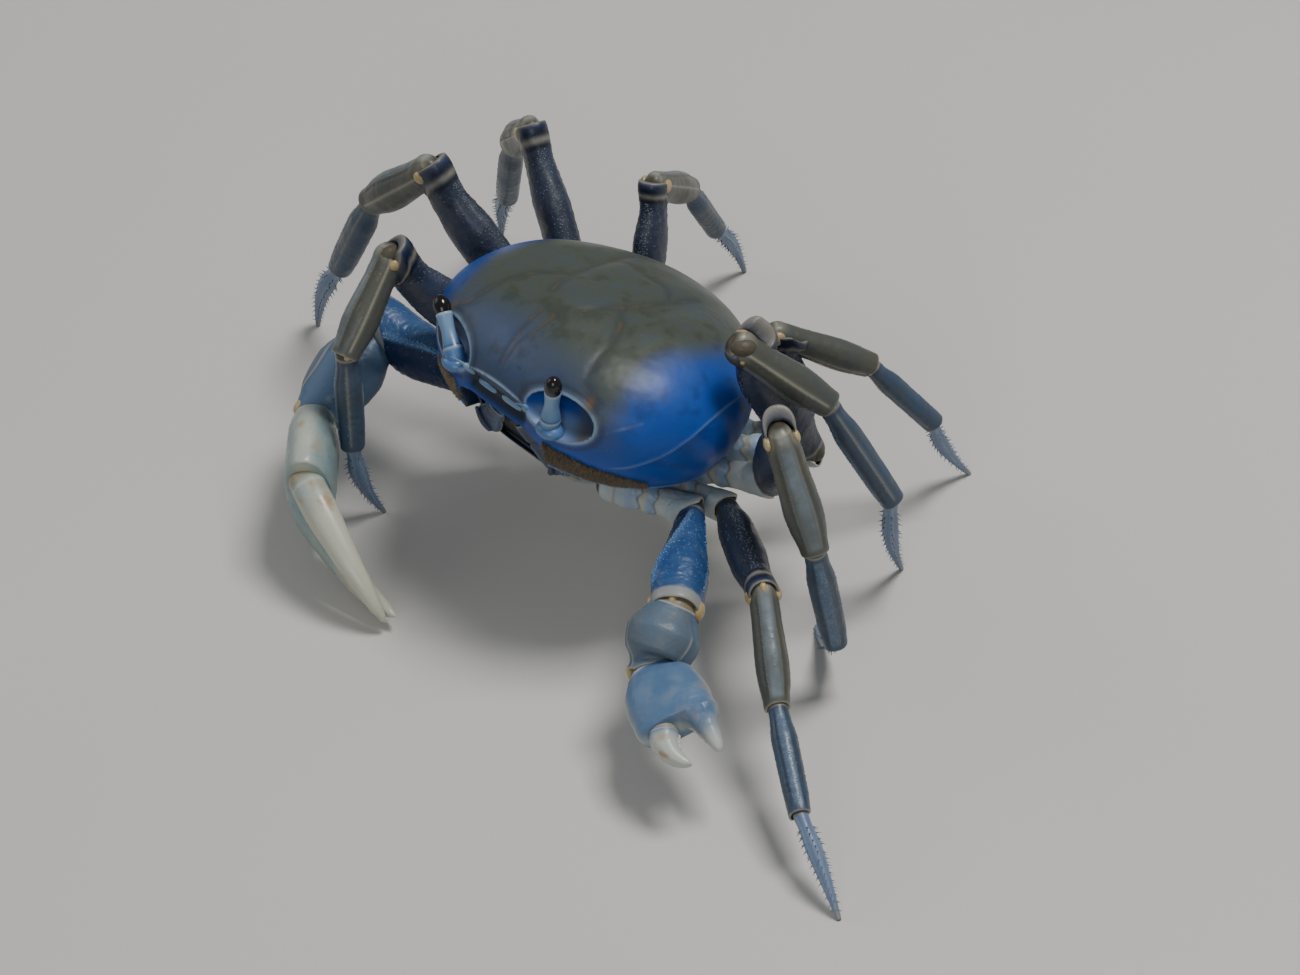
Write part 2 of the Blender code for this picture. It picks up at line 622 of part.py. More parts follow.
def build_leg(name, home, under):
    """The five segments of one walking leg."""
    pair, socket, hip_end, merus, carpus, propodus, last = LEGS[name]
    halves = [(u * MM, s * MM) for u, s in LEG_SIZES[pair]]
    points = [Vector(socket) * MM, Vector(hip_end) * MM]
    for length, heading, pitch in (merus, carpus, propodus):
        points.append(points[-1] + aim(heading, pitch) * length * MM)
    length, heading = last
    drop = points[-1].z
    reach = math.sqrt(max(0.0, (length * MM) ** 2 - drop ** 2))
    points.append(points[-1] + aim(heading, 0.0) * reach - Vector((0, 0, drop)))
    ways = [(b - a).normalized() for a, b in zip(points, points[1:])]
    hip_side = aim(math.degrees(math.atan2(ways[0].y, ways[0].x)) - 90.0, 0.0)
    sides = [hip_side] + [aim(merus[1] - 90.0, 0.0)] * 4
    balls = [(up * a, flat * b) for (up, flat), (a, b) in zip(halves[:1] + halves[:4], LEG_BALLS)]
    forms = (HIP_FORM, MERUS_FORM, CARPUS_FORM, PROPODUS_FORM)
    labels = ("hip", "merus", "carpus", "propodus", "dactyl")
    rings, pole = near_end(points[0], points[1], sides[0], balls[0], HIP_FORM, halves[0], GAP, 0.3)
    cut_socket(under, rings, pole, home)
    for k in range(4):
        shift = bend_shift(ways[k], ways[k + 1], balls[k + 1][0]) if k else 0.0
        bm = segment(points[k], points[k + 1], sides[k], balls[k], forms[k], halves[k], balls[k + 1], shift,
                     KEEL if k else 0.0)
        made = place(bm, f"{name}_{labels[k]}", LEG_LOOKS[k], home)
        if labels[k] == "merus":
            join_pieces(made, condyles(points[2], sides[1], balls[2]), home)
        if k < 3:
            rings, pole = near_end(points[k + 1], points[k + 2], sides[k + 1], balls[k + 1], forms[k + 1],
                                   halves[k + 1], GAP, 0.7, KEEL)
        else:
            rings, pole = dactyl_rings(points[4], points[5], sides[4], balls[4], halves[4], GAP, 0.4)
        cut_socket(made, rings, pole, home)
    rings, pole = dactyl_rings(points[4], points[5], sides[4], balls[4], halves[4])
    foot = ring(points[5], Vector((0, 1, 0)), Vector((1, 0, 0)), FLAT, FLAT, 2.0)
    if frame_of(ways[4], sides[4])[2].x < 0:
        foot = ring(points[5], Vector((0, -1, 0)), Vector((-1, 0, 0)), FLAT, FLAT, 2.0)
    made = place(loft(rings + [foot], pole), name + "_dactyl", LEG_LOOKS[4], home)
    join_pieces(made, dactyl_spines(points[4], points[5], sides[4], halves[4]), home)


def curve_point(a, b, c, t):
    """Point of a quadratic curve."""
    return a * (1 - t) ** 2 + b * 2 * t * (1 - t) + c * t ** 2


def build_claw(name, home, under):
    """The five segments of one claw: hip, merus, carpus, palm with its fixed finger, and finger."""
    data = CLAWS[name]
    points = [Vector(data["socket"]) * MM, Vector(data["hip"]) * MM]
    for length, heading, pitch in (data["merus"], data["carpus"], data["palm"]):
        points.append(points[-1] + aim(heading, pitch) * length * MM)
    ways = [(b - a).normalized() for a, b in zip(points, points[1:])]
    halves = [(u * MM, s * MM) for u, s in data["sizes"]]
    tall, thick = (v * MM for v in data["half"])
    along = ways[3]
    upper = aim(*data["upper"])
    upper = (upper - along * upper.dot(along)).normalized()
    flank = along.cross(upper)
    hip_side = aim(math.degrees(math.atan2(ways[0].y, ways[0].x)) - 90.0, 0.0)
    side = aim(data["merus"][1] - 90.0, 0.0)
    sides = (hip_side, side, side)
    wrist = 0.78 * thick
    balls = [(halves[0][0] * 0.9, halves[0][1] * 0.9), (halves[0][0] * 0.8, halves[0][1] * 0.8),
             (halves[1][0] * 0.8, halves[1][1] * 0.8), (wrist, wrist)]
    forms = (HIP_FORM, CLAW_MERUS_FORM, CLAW_CARPUS_FORM)
    rings, pole = near_end(points[0], points[1], sides[0], balls[0], HIP_FORM, halves[0], GAP, 0.3)
    cut_socket(under, rings, pole, home)
    for k, label in enumerate(("hip", "merus", "carpus")):
        shift = bend_shift(ways[k], ways[k + 1], balls[k + 1][0]) if k else 0.0
        bm = segment(points[k], points[k + 1], sides[k], balls[k], forms[k], halves[k], balls[k + 1], shift)
        made = place(bm, f"{name}_{label}", PALE if label == "hip" else BLUE, home)
        if k < 2:
            rings, pole = near_end(points[k + 1], points[k + 2], sides[k + 1], balls[k + 1], forms[k + 1],
                                   halves[k + 1], GAP, 0.5)
        else:
            rings, pole = palm_rings(points[3], points[4], upper, flank, balls[3], tall, thick, GAP, 1.0)
        cut_socket(made, rings, pole, home)

    rings, pole = palm_rings(points[3], points[4], upper, flank, balls[3], tall, thick)
    length, heading, pitch = data["fixed"]
    root = points[4] - upper * tall * 0.50
    tip = root + aim(heading, pitch) * length * MM
    lift, out, sag = (v * MM for v in data["bow"])
    middle = (root + tip) / 2 - upper * sag + along * out * 1.4
    rings.append(ring(root + along * 1.2 * MM, upper, flank, tall * 0.46, thick * 0.78))
    rings += curved_rings(root, middle, tip, flank, tall, thick, FIXED_FORM)
    palm = place(loft(rings, pole, tip), name + "_palm", PALE, home)
    join_pieces(palm, teeth(root, middle, tip, flank, tall, FIXED_FORM, 1.0), home)

    hinge = points[4] + upper * tall * 0.42
    length, heading, pitch = data["finger"]
    tip = hinge + aim(heading, pitch) * length * MM
    chord = (tip - hinge).normalized()
    rise = (upper - chord * upper.dot(chord)).normalized()
    middle = (hinge + tip) / 2 + rise * lift * 1.4 + along * out * 1.4
    frame = frame_of(middle - hinge, flank)
    ball = (tall * 0.34, thick * 0.70)
    for grow, reach in ((GAP, 0.4), (0.0, 1.0)):
        rings, pole = ball_rings(hinge, frame, *ball, grow)
        form = [row for row in FINGER_FORM if row[0] <= reach]
        rings += curved_rings(hinge, middle, tip, flank, tall, thick, form, grow)
        if grow:
            cut_socket(palm, rings, pole, home)
    finger = place(loft(rings, pole, tip), name + "_finger", PALE, home)
    join_pieces(finger, teeth(hinge, middle, tip, flank, tall, FINGER_FORM, -1.0), home)


def half_at(form, t):
    """Half height of a finger at a share of its length."""
    for (f0, u0, _), (f1, u1, _) in zip(form, form[1:]):
        if f0 <= t <= f1:
            return u0 + (u1 - u0) * (t - f0) / (f1 - f0)
    return form[-1][1] if t > form[-1][0] else form[0][1]


def teeth(start, middle, end, flank, tall, form, turn):
    """Blunt teeth along a finger's inner edge."""
    pieces = []
    for k, t in enumerate(TEETH):
        at = curve_point(start, middle, end, t)
        o, e, n = frame_of(curve_point(start, middle, end, t + 0.04) - at, flank)
        half = half_at(form, t) * tall
        size = (1.3 if k in (1, 2) else 0.85) * (0.55 + 0.045 * tall / MM) * MM
        size = min(size * (1.15 - 0.7 * t), half * 0.7)
        pieces.append(spine(at + e * turn * half * 0.78, e * turn, size, half * 0.2 + size * 1.1))
    return pieces


def palm_rings(start, end, upper, flank, ball, tall, thick, grow=0.0, reach=1.0):
    """Rings of a palm from its wrist ball to the line of its fingers; a grown one also moves back."""
    frame = ((end - start).normalized(), upper, flank)
    rings, pole = ball_rings(start, frame, *ball, grow)
    for f, u, s in PALM_FORM:
        if f <= reach:
            centre = start + (end - start) * f - frame[0] * grow
            rings.append(ring(centre, upper, flank, tall * u + grow, thick * s + grow))
    return rings, pole


def curved_rings(start, middle, end, flank, tall, thick, form, grow=0.0):
    """Rings of a finger along a curve."""
    rings = []
    for t, u, s in form:
        at = curve_point(start, middle, end, t)
        way = curve_point(start, middle, end, t + 0.04) - at
        o, e, n = frame_of(way, flank)
        rings.append(ring(at, e, n, tall * u + grow, thick * s + grow))
    return rings


def build_eyes(home, shell):
    """The two eye stalks and the eyes at their ends."""
    for side, label in ((1, "left"), (-1, "right")):
        way = aim(*STALK_WAYS[side])
        base = tilt((STALK_AT.x * side, STALK_AT.y, STALK_AT.z))
        frame = frame_of(way, aim(-90.0, 0.0))
        top = base + way * STALK_LENGTH
        rings, pole = ball_rings(base, frame, STALK_RADIUS, STALK_RADIUS, 0.0)
        for reach, radius in STALK_FORM:
            rings.append(ring(base + way * reach * MM, *frame[1:], radius * MM, radius * MM, 2.0))
        stalk = place(loft(rings, pole), "eyestalk_" + label, ((0.25, 0.42, 0.62), 0.35), home)
        rings, pole = ball_rings(base, frame, STALK_RADIUS, STALK_RADIUS, GAP)
        for reach in (2.4 * MM, STALK_LENGTH + EYE_LENGTH):
            rings.append(ring(base + way * reach, *frame[1:], STALK_RADIUS + GAP, STALK_RADIUS + GAP, 2.0))
        cut_socket(shell, rings, pole, home)
        boolean(stalk, [place(eye_ball(top, frame, GAP), "eye_cutter", None, home)], "DIFFERENCE")
        place(eye_ball(top, frame, 0.0), "eye_" + label, ((0.008, 0.008, 0.010), 0.12), home)


def eye_ball(centre, frame, grow):
    """An eye, longer along its stalk than across."""
    o, e, n = frame
    rings = []
    for angle in (30.0, 62.0, 90.0, 118.0, 150.0):
        t = math.radians(angle)
        wide = (EYE_RADIUS + grow) * math.sin(t)
        rings.append(ring(centre - o * (EYE_LENGTH + grow) * math.cos(t), e, n, wide, wide, 2.0))
    return loft(rings, centre - o * (EYE_LENGTH + grow), centre + o * (EYE_LENGTH + grow))


def build_maxillipeds(home):
    """The two mouth plates, which lie on the mouth's sloping face and spread downward."""
    for side, label in ((1, "left"), (-1, "right")):
        out = Vector((0, -1, -MOUTH_SLOPE)).normalized()
        ends = []
        for x, z in (PLATE_TOP, PLATE_END):
            y = MOUTH_FRONT + MOUTH_SLOPE * (MOUTH_TOP - z * MM)
            ends.append(Vector((x * side * MM, y, z * MM)) + out * PLATE_OFF)
        along = (ends[1] - ends[0]).normalized()
        across = along.cross(out)
        rings = []
        for share, wide in PLATE_FORM:
            centre = ends[0] + (ends[1] - ends[0]) * share
            flat = ring(centre, out, across, PLATE_THICK, wide * MM, 2.8, 12)
            rings.append([tilt(p) for p in flat])
        place(loft(rings), "maxilliped_" + label, ((0.05, 0.08, 0.18), 0.35), home)


def build_abdomen(home, grow, name):
    """The narrow flap folded under the body."""
    rings = []
    last = len(FLAP_PATH) - 1
    for k, (y, z, wide) in enumerate(FLAP_PATH):
        nearer, further = FLAP_PATH[max(0, k - 1)], FLAP_PATH[min(last, k + 1)]
        way = Vector((0, further[0] - nearer[0], further[1] - nearer[1])).normalized()
        centre = Vector((0, y, z)) * MM
        if grow and k in (0, last):
            centre += way * (grow if k else -grow)
        up, side = way.cross(Vector((1, 0, 0))), Vector((1, 0, 0))
        flat = ring(centre, up, side, FLAP_THICK + grow, wide * MM + grow, 3.0, 12)
        rings.append([tilt(p) for p in flat])
    return place(loft(rings), name, ((0.50, 0.52, 0.44), 0.5) if not grow else None, home)


def centre_all(home):
    """Moves all meshes so that the middle of their box stands over the origin."""
    points = [v.co for item in home.objects for v in item.data.vertices]
    shift = Vector((
        -(min(p.x for p in points) + max(p.x for p in points)) / 2,
        -(min(p.y for p in points) + max(p.y for p in points)) / 2,
        0.0,
    ))
    for item in home.objects:
        item.data.transform(Matrix.Translation(shift))


def main():
    """Builds the crab."""
    clear_scene()
    random.seed(SEED)
    home = bpy.data.collections.new(BODY_NAME)
    bpy.context.scene.collection.children.link(home)
    shell = build_carapace(home)
    under = build_underside(home)
    for name in LEGS:
        build_leg(name, home, under)
    for name in CLAWS:
        build_claw(name, home, under)
    build_eyes(home, shell)
    build_maxillipeds(home)
    build_abdomen(home, 0.0, "abdomen")
    for body in (under, shell):
        boolean(body, [build_abdomen(home, GAP, "abdomen_cutter")], "DIFFERENCE")
    centre_all(home)


main()
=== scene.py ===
"""Looks of a life-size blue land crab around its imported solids: shell, limbs, claws, eyes, mouth and fur.

Metres, +X the crab's left, -Y its front, +Z up. Lengths in the tables are millimetres.
"""
import json
import logging
import math
from collections.abc import Callable
from dataclasses import dataclass, field, replace
from enum import Enum

import bmesh
import bpy
import numpy as np
from mathutils import Matrix, Vector

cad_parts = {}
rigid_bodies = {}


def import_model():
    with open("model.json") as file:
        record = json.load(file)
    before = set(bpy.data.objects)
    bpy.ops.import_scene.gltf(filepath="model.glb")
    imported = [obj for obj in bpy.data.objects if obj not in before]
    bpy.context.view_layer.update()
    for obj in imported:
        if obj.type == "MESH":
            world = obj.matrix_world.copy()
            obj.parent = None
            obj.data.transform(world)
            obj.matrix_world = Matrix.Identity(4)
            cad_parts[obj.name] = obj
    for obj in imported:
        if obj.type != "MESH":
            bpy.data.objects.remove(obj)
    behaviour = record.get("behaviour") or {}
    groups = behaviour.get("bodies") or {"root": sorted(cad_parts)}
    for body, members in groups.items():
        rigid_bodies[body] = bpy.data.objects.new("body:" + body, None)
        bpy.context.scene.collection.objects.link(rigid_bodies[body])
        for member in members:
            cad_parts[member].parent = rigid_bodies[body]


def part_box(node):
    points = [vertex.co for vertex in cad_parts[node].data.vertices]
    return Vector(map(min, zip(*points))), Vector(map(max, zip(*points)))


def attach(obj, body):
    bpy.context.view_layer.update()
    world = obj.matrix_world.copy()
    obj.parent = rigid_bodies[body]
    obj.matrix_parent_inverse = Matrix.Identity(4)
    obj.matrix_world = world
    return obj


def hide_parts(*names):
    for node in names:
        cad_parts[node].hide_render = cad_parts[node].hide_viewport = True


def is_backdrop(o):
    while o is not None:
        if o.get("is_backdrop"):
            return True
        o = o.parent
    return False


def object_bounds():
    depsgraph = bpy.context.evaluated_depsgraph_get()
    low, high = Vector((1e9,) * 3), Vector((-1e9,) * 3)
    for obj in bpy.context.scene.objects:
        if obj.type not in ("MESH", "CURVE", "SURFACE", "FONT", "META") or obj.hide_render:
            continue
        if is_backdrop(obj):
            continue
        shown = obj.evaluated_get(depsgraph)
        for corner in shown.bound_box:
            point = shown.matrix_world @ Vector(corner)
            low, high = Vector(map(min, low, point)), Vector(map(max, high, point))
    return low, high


log = logging.getLogger("crab")
MM = 0.001
SEED = 11
# half axis in metres of the station that closes a tube, and the smallest divisor
CLOSED = 1e-6
TINY = 1e-6
# edges steeper than this many degrees stay sharp, and coarsest grains of a rough tube in a metre
SHARP_EDGE = 60.0
GRAIN_SCALE = 900.0

# the shell's own frame
SHELL_WIDTH = 100.0
SHELL_HEIGHT = 0.68 * SHELL_WIDTH
NOSE_UP = 16.0
TILT = Matrix.Rotation(math.radians(-NOSE_UP), 3, "X")
LEVEL = (0.0, 0.0, SHELL_HEIGHT * MM)
HALF, FRONT, REAR = 0.50 * SHELL_WIDTH, 0.38 * SHELL_WIDTH, 0.42 * SHELL_WIDTH
TOP, DEEP = 0.24 * SHELL_WIDTH, 0.30 * SHELL_WIDTH
REAR_NARROWING = 0.2
# roundness of the outline in front and behind, and of the dome above and below its widest line
FRONT_POWER, REAR_POWER = 2.35, 2.2
UPPER_POWER, LOWER_POWER = 2.3, 2.0
RIM_DROP, RIM_RISE = 0.16 * SHELL_WIDTH, 0.09 * SHELL_WIDTH
ORBIT_AT, ORBIT_HALF, ORBIT_TURN = (24.0, -37.5, 3.5), (12.0, 8.5, 6.8), 18.0
STALK_AT, STALK_LENGTH = (20.5, -35.0, -0.5), 14.6
STALK_WAYS = {1: (20.0, 80.0), -1: (156.0, 42.0)}
EYE_RADIUS, EYE_LENGTH = 2.5, 3.5
ANTENNA_AT, ANTENNA_WAY = (12.0, -36.2, 0.5), (0.25, -0.8, 0.55)

# the mouth's block with its sloping face, and its plates: upper and lower end, gap to the face,
# half thickness and (share, half width)
MOUTH_HALF, MOUTH_TOP, MOUTH_FLOOR = 17.5, -6.0, -25.0
MOUTH_FRONT, MOUTH_BACK, MOUTH_SLOPE = -32.0, -20.0, 0.6
PLATE_TOP, PLATE_END = (5.0, -9.0), (15.6, -21.0)
PLATE_OFF, PLATE_THICK = 1.35, 1.0
PLATE_FORM = ((0.0, 2.4), (0.14, 3.5), (0.31, 3.7), (0.37, 3.0), (0.44, 4.1), (0.72, 4.6), (1.0, 3.0))

# the breast plates: half width, middle and half length from above, lowest point and its rise,
# and (share of depth, share of size); and the folded flap as (y, z, half width)
BREAST_HALF, BREAST_MIDDLE, BREAST_REACH = 26.0, 5.0, 33.0
BREAST_LOW, BREAST_RISE = -30.5, 5.0
BREAST_FORM = ((0.0, 0.86), (0.10, 0.98), (0.34, 1.0), (0.62, 0.92), (0.85, 0.70), (1.0, 0.38))
FLAP_THICK = 1.3
FLAP_PATH = ((40.5, -9.0, 15.0), (40.0, -14.0, 15.5), (35.5, -22.0, 14.0), (27.0, -28.0, 12.0),
             (16.0, -31.0, 9.5), (6.0, -32.0, 7.5), (-3.0, -32.2, 5.5), (-9.0, -31.8, 2.5))

# share of length, of half height and of half thickness along each kind of segment
HIP_FORM = ((0.28, 0.95, 0.95), (0.40, 0.76, 0.82), (0.48, 0.90, 0.92), (0.58, 0.78, 0.84))
MERUS_FORM = ((0.12, 0.68, 0.74), (0.30, 0.98, 1.0), (0.60, 1.05, 1.04), (0.84, 0.84, 0.84))
CARPUS_FORM = ((0.08, 0.90, 0.92), (0.20, 0.90, 0.92), (0.40, 0.97, 0.98), (0.64, 1.06, 1.05))
PROPODUS_FORM = ((0.14, 0.78, 0.80), (0.34, 1.0, 1.0), (0.70, 0.97, 0.97))
DACTYL_FORM = ((0.14, 0.80, 0.85), (0.34, 1.0, 1.0), (0.62, 0.72, 0.75), (0.86, 0.40, 0.45))
ARM_FORM = ((0.14, 0.52, 0.54), (0.40, 0.72, 0.72), (0.70, 0.95, 0.95))
WRIST_FORM = ((0.22, 0.80, 0.80), (0.48, 1.0, 1.0), (0.74, 0.92, 0.9))
PALM_FORM = ((0.14, 0.68, 0.85), (0.38, 0.92, 1.0), (0.72, 1.0, 1.0), (0.98, 0.98, 0.92))
FIXED_FORM = ((0.35, 0.28, 0.58), (0.7, 0.18, 0.40), (0.93, 0.09, 0.2))
FINGER_FORM = ((0.14, 0.36, 0.72), (0.35, 0.29, 0.62), (0.62, 0.21, 0.46), (0.85, 0.13, 0.28),
               (0.96, 0.06, 0.15))

# near end of each segment as a share of the segment before, and per pair half height and half
# thickness of hip, merus, carpus, propodus and dactyl
LEG_BALLS = ((0.9, 0.9), (0.8, 0.8), (0.74, 0.70), (0.64, 0.62), (0.64, 0.62))
LEG_SIZES = {
    2: ((5.0, 3.6), (6.4, 5.1), (4.9, 4.3), (4.0, 3.5), (2.4, 2.2)),
    3: ((5.2, 3.8), (7.2, 5.3), (5.4, 5.0), (4.2, 3.9), (2.5, 2.3)),
    4: ((5.0, 3.8), (6.6, 4.9), (5.0, 4.4), (3.9, 3.4), (2.3, 2.1)),
    5: ((4.8, 3.6), (5.6, 4.5), (4.4, 3.8), (3.4, 3.0), (2.1, 1.9)),
}
# pair, socket, end of the hip, then (length, heading, pitch) of merus, carpus and propodus,
# then (length, heading) of the dactyl, which reaches the floor
LEGS = {
    "leg_2_left": (2, (25, -5, 43.5), (44, 6, 37),
                   (50.6, -28, 11), (31, -35, -35), (33, -31, -21), (32, -20)),
    "leg_3_left": (3, (25, 6, 41.5), (48.5, 18, 42),
                   (57, -30, 51), (32, -8, -67), (38, 100, -82), (34, 152)),
    "leg_4_left": (4, (23, 17, 39.5), (50, 33, 45),
                   (54, -89, 67), (30, 49, -44), (40, 54, -67), (39, 135)),
    "leg_5_left": (5, (18, 27, 37), (34.5, 42, 34),
                   (38, -145, 83), (30, 61, -34), (30, 61, -56), (33.5, 101)),
    "leg_2_right": (2, (-25, -5, 43.5), (-46, 5, 37),
                    (54, -125, 53), (29, -78, -41), (32, -78, -86), (30, 80)),
    "leg_3_right": (3, (-25, 6, 41.5), (-48, 17, 41),
                    (56, -166, 50), (32, -170, -42), (37, -172, -62), (33, -174)),
    "leg_4_right": (4, (-23, 17, 39.5), (-46, 30, 40),
                    (54, 160, 50), (31, 158, -42), (36, 156, -62), (34, 154)),
    "leg_5_right": (5, (-18, 27, 37), (-34, 41, 35),
                    (42, 120, 62), (28, 118, -40), (30, 116, -60), (32, 114)),
}


@dataclass(frozen=True)
class ClawPlan:
    """Places and sizes of one claw, in millimetres and degrees."""

    socket: tuple
    hip: tuple
    merus: tuple
    carpus: tuple
    palm: tuple
    upper: tuple
    half: tuple
    finger: tuple
    fixed: tuple
    bow: tuple
    sizes: tuple


CLAWS = {
    "claw_left": ClawPlan(
        socket=(22, -16, 45), hip=(43, -5, 41.5), merus=(36, -48, -5), carpus=(19, -70, -33),
        palm=(22, -19, -5), upper=(-110, -18), half=(11.8, 6.2),
        finger=(13.4, -5, -10), fixed=(13.8, -15, -16), bow=(3.3, 0.0, 0.6),
        sizes=((5.2, 4.2), (8.4, 7.8), (11.2, 10.3)),
    ),
    "claw_right": ClawPlan(
        socket=(-22, -16, 45), hip=(-39, -9, 38), merus=(43, -170, 5), carpus=(32, -79, -21),
        palm=(28, -44, -14), upper=(-44, 76), half=(16.0, 7.0),
        finger=(46, -7, -35), fixed=(43, -6, -14), bow=(5.0, 4.0, 5.0),
        sizes=((5.6, 4.4), (9.0, 7.6), (10.5, 8.4)),
    ),
}

# the photograph's view: its right and up, its middle as millimetres to the right and up of the
# shell's middle, its distance in metres, its width and the sensor's in millimetres
VIEW_RIGHT = Vector((0.6431, 0.7619, -0.0775))
VIEW_UP = Vector((-0.4598, 0.4651, 0.7565))
VIEW_MIDDLE = (14.17, -35.4)
VIEW_DISTANCE = 2.4
VIEW_WIDTH = 361.0
SENSOR = 36.0


class Slot(Enum):
    """The record's material slots."""

    SHELL = "shell"
    UNDERSIDE = "underside"
    EYESTALK = "eyestalk"
    EYE = "eye"
    MOUTH = "mouth"
    HIP = "hip"
    MERUS = "leg_merus"
    CARPUS = "leg_carpus"
    PROPODUS = "leg_propodus"
    DACTYL = "leg_dactyl"
    ARM = "claw_arm"
    WRIST = "claw_wrist"
    SMALL = "claw_small"
    LARGE = "claw_large"


def aim(heading: float, pitch: float) -> Vector:
    """Returns the unit vector with this heading and pitch in degrees."""
    h, p = math.radians(heading), math.radians(pitch)
    return Vector((math.cos(h) * math.cos(p), math.sin(h) * math.cos(p), math.sin(p)))


def frame_of(along: Vector, side: Vector) -> tuple[Vector, Vector, Vector]:
    """Squares a direction and a side.

    Args:
        along: direction of a segment.
        side: rough direction of its side.

    Returns:
        Unit vectors along, up and to the side.
    """
    o = along.normalized()
    n = (side - o * side.dot(o)).normalized()
    return o, n.cross(o), n


def curve_point(a: Vector, b: Vector, c: Vector, t: float) -> Vector:
    """Returns the point of a quadratic curve at share t."""
    return a * (1 - t) ** 2 + b * 2 * t * (1 - t) + c * t ** 2


def step(value: np.ndarray, low: float, high: float) -> np.ndarray:
    """Returns a smooth step from 0 at low to 1 at high."""
    t = np.clip((value - low) / (high - low), 0.0, 1.0)
    return t * t * (3 - 2 * t)


def bell(value: np.ndarray, middle: float, width: float) -> np.ndarray:
    """Returns a bell of height 1."""
    return np.exp(-(((value - middle) / width) ** 2))


def signed_power(value: np.ndarray, power: float) -> np.ndarray:
    """Returns a power of a value's size with the value's sign."""
    return np.sign(value) * np.abs(value) ** power


def angle_off(angle: np.ndarray, degrees: float) -> np.ndarray:
    """Returns the turn from a direction in degrees, from -180 to 180."""
    return (np.degrees(angle) - degrees + 180.0) % 360.0 - 180.0


def flow(at: np.ndarray, keys: np.ndarray, values: np.ndarray) -> np.ndarray:
    """Reads a smooth curve through keyed values that doesn't overshoot them.

    Args:
        at: where to read, shape (n,).
        keys: rising keys, shape (k,).
        values: values at the keys, shape (k, 3).

    Returns:
        Values at those places, shape (n, 3).
    """
    gap = np.diff(keys)[:, None]
    slope = np.diff(values, axis=0) / gap
    same = slope[:-1] * slope[1:]
    total = slope[:-1] + slope[1:]
    middle = np.where(same > 0, 2 * same / np.where(np.abs(total) < 1e-12, 1.0, total), 0.0)
    tangent = np.vstack((slope[:1], middle, slope[-1:]))
    k = np.clip(np.searchsorted(keys, at, side="right") - 1, 0, len(keys) - 2)
    t = ((at - keys[k]) / gap[k, 0])[:, None]
    h = gap[k]
    return ((1 + 2 * t) * (1 - t) ** 2 * values[k] + t * (1 - t) ** 2 * h * tangent[k]
            + t * t * (3 - 2 * t) * values[k + 1] + t * t * (t - 1) * h * tangent[k + 1])


def lattice(cell: np.ndarray, seed: int) -> np.ndarray:
    """Scatters values over whole-number cells.

    Args:
        cell: the cells, shape (n, 3).
        seed: which of the patterns.

    Returns:
        Values from -1 to 1.
    """
    mixed = (cell[:, 0] * 73856093) ^ (cell[:, 1] * 19349663) ^ (cell[:, 2] * 83492791) ^ (seed * 7919)
    mixed = (mixed ^ (mixed >> 13)) * 1274126177
    mixed = mixed ^ (mixed >> 16)
    return (mixed & 0xFFFF) / 32767.5 - 1.0


def turbulence(points: np.ndarray, scale: float, seed: float = 0.0, octaves: int = 3) -> np.ndarray:
    """Works out soft noise.

    Args:
        points: places in metres, shape (n, 3).
        scale: coarsest cells in a metre.
        seed: which of the patterns.
        octaves: how many times finer noise is added.

    Returns:
        Values from about -1 to 1.
    """
    total, share = np.zeros(len(points)), 1.0
    for octave in range(octaves):
        spot = points * scale * 2.0 ** octave + 31.7 * (seed + octave + 1)
        cell = np.floor(spot).astype(np.int64)
        inside = spot - cell
        inside = inside * inside * (3 - 2 * inside)
        for corner in range(8):
            offset = np.array([corner >> axis & 1 for axis in range(3)])
            weight = np.prod(np.where(offset == 1, inside, 1 - inside), axis=1)
            total += share * weight * lattice(cell + offset, octave)
        share *= 0.6
    return total


def mouth_face(z: float | np.ndarray) -> float | np.ndarray:
    """Returns how far forward the mouth's sloping face is at a height."""
    return MOUTH_FRONT + MOUTH_SLOPE * (MOUTH_TOP - z)


def plain_ball(around: int, rows: int) -> bmesh.types.BMesh:
    """Makes a unit ball.

    Args:
        around: points round it.
        rows: rows of faces from pole to pole.

    Returns:
        The mesh in work.
    """
    bm = bmesh.new()
    bmesh.ops.create_uvsphere(bm, u_segments=around, v_segments=rows, radius=1.0)
    return bm


def ball_turns(bm: bmesh.types.BMesh) -> tuple[np.ndarray, np.ndarray]:
    """Returns the share from pole to pole and the turn in radians of each point of a unit ball."""
    ball = np.array([v.co[:] for v in bm.verts])
    return np.arccos(np.clip(ball[:, 2], -1, 1)) / math.pi, np.arctan2(ball[:, 1], ball[:, 0])


def move_points(bm: bmesh.types.BMesh, points: np.ndarray) -> None:
    """Moves every point of a mesh to its place in metres."""
    for vert, point in zip(bm.verts, points):
        vert.co = point


def paint_mesh(mesh: bpy.types.Mesh, marks: np.ndarray) -> None:
    """Keeps four colour marks for each point."""
    layer = mesh.attributes.new("marks", "FLOAT_COLOR", "POINT")
    layer.data.foreach_set("color", marks.astype(np.float32).ravel())


def show(name: str, data: bpy.types.ID) -> bpy.types.Object:
    """Links a new object to the scene.

    Args:
        name: its name.
        data: its mesh, lamp or camera.

    Returns:
        The object.
    """
    made = bpy.data.objects.new(name, data)
    bpy.context.scene.collection.objects.link(made)
    return made


@dataclass(frozen=True)
class Ridge:
    """A lengthwise ridge or groove of a limb: where it is round the limb, how high and how wide."""

    angle: float
    height: float
    width: float
    start: float = 0.14
    end: float = 0.70
    twist: float = 0.0


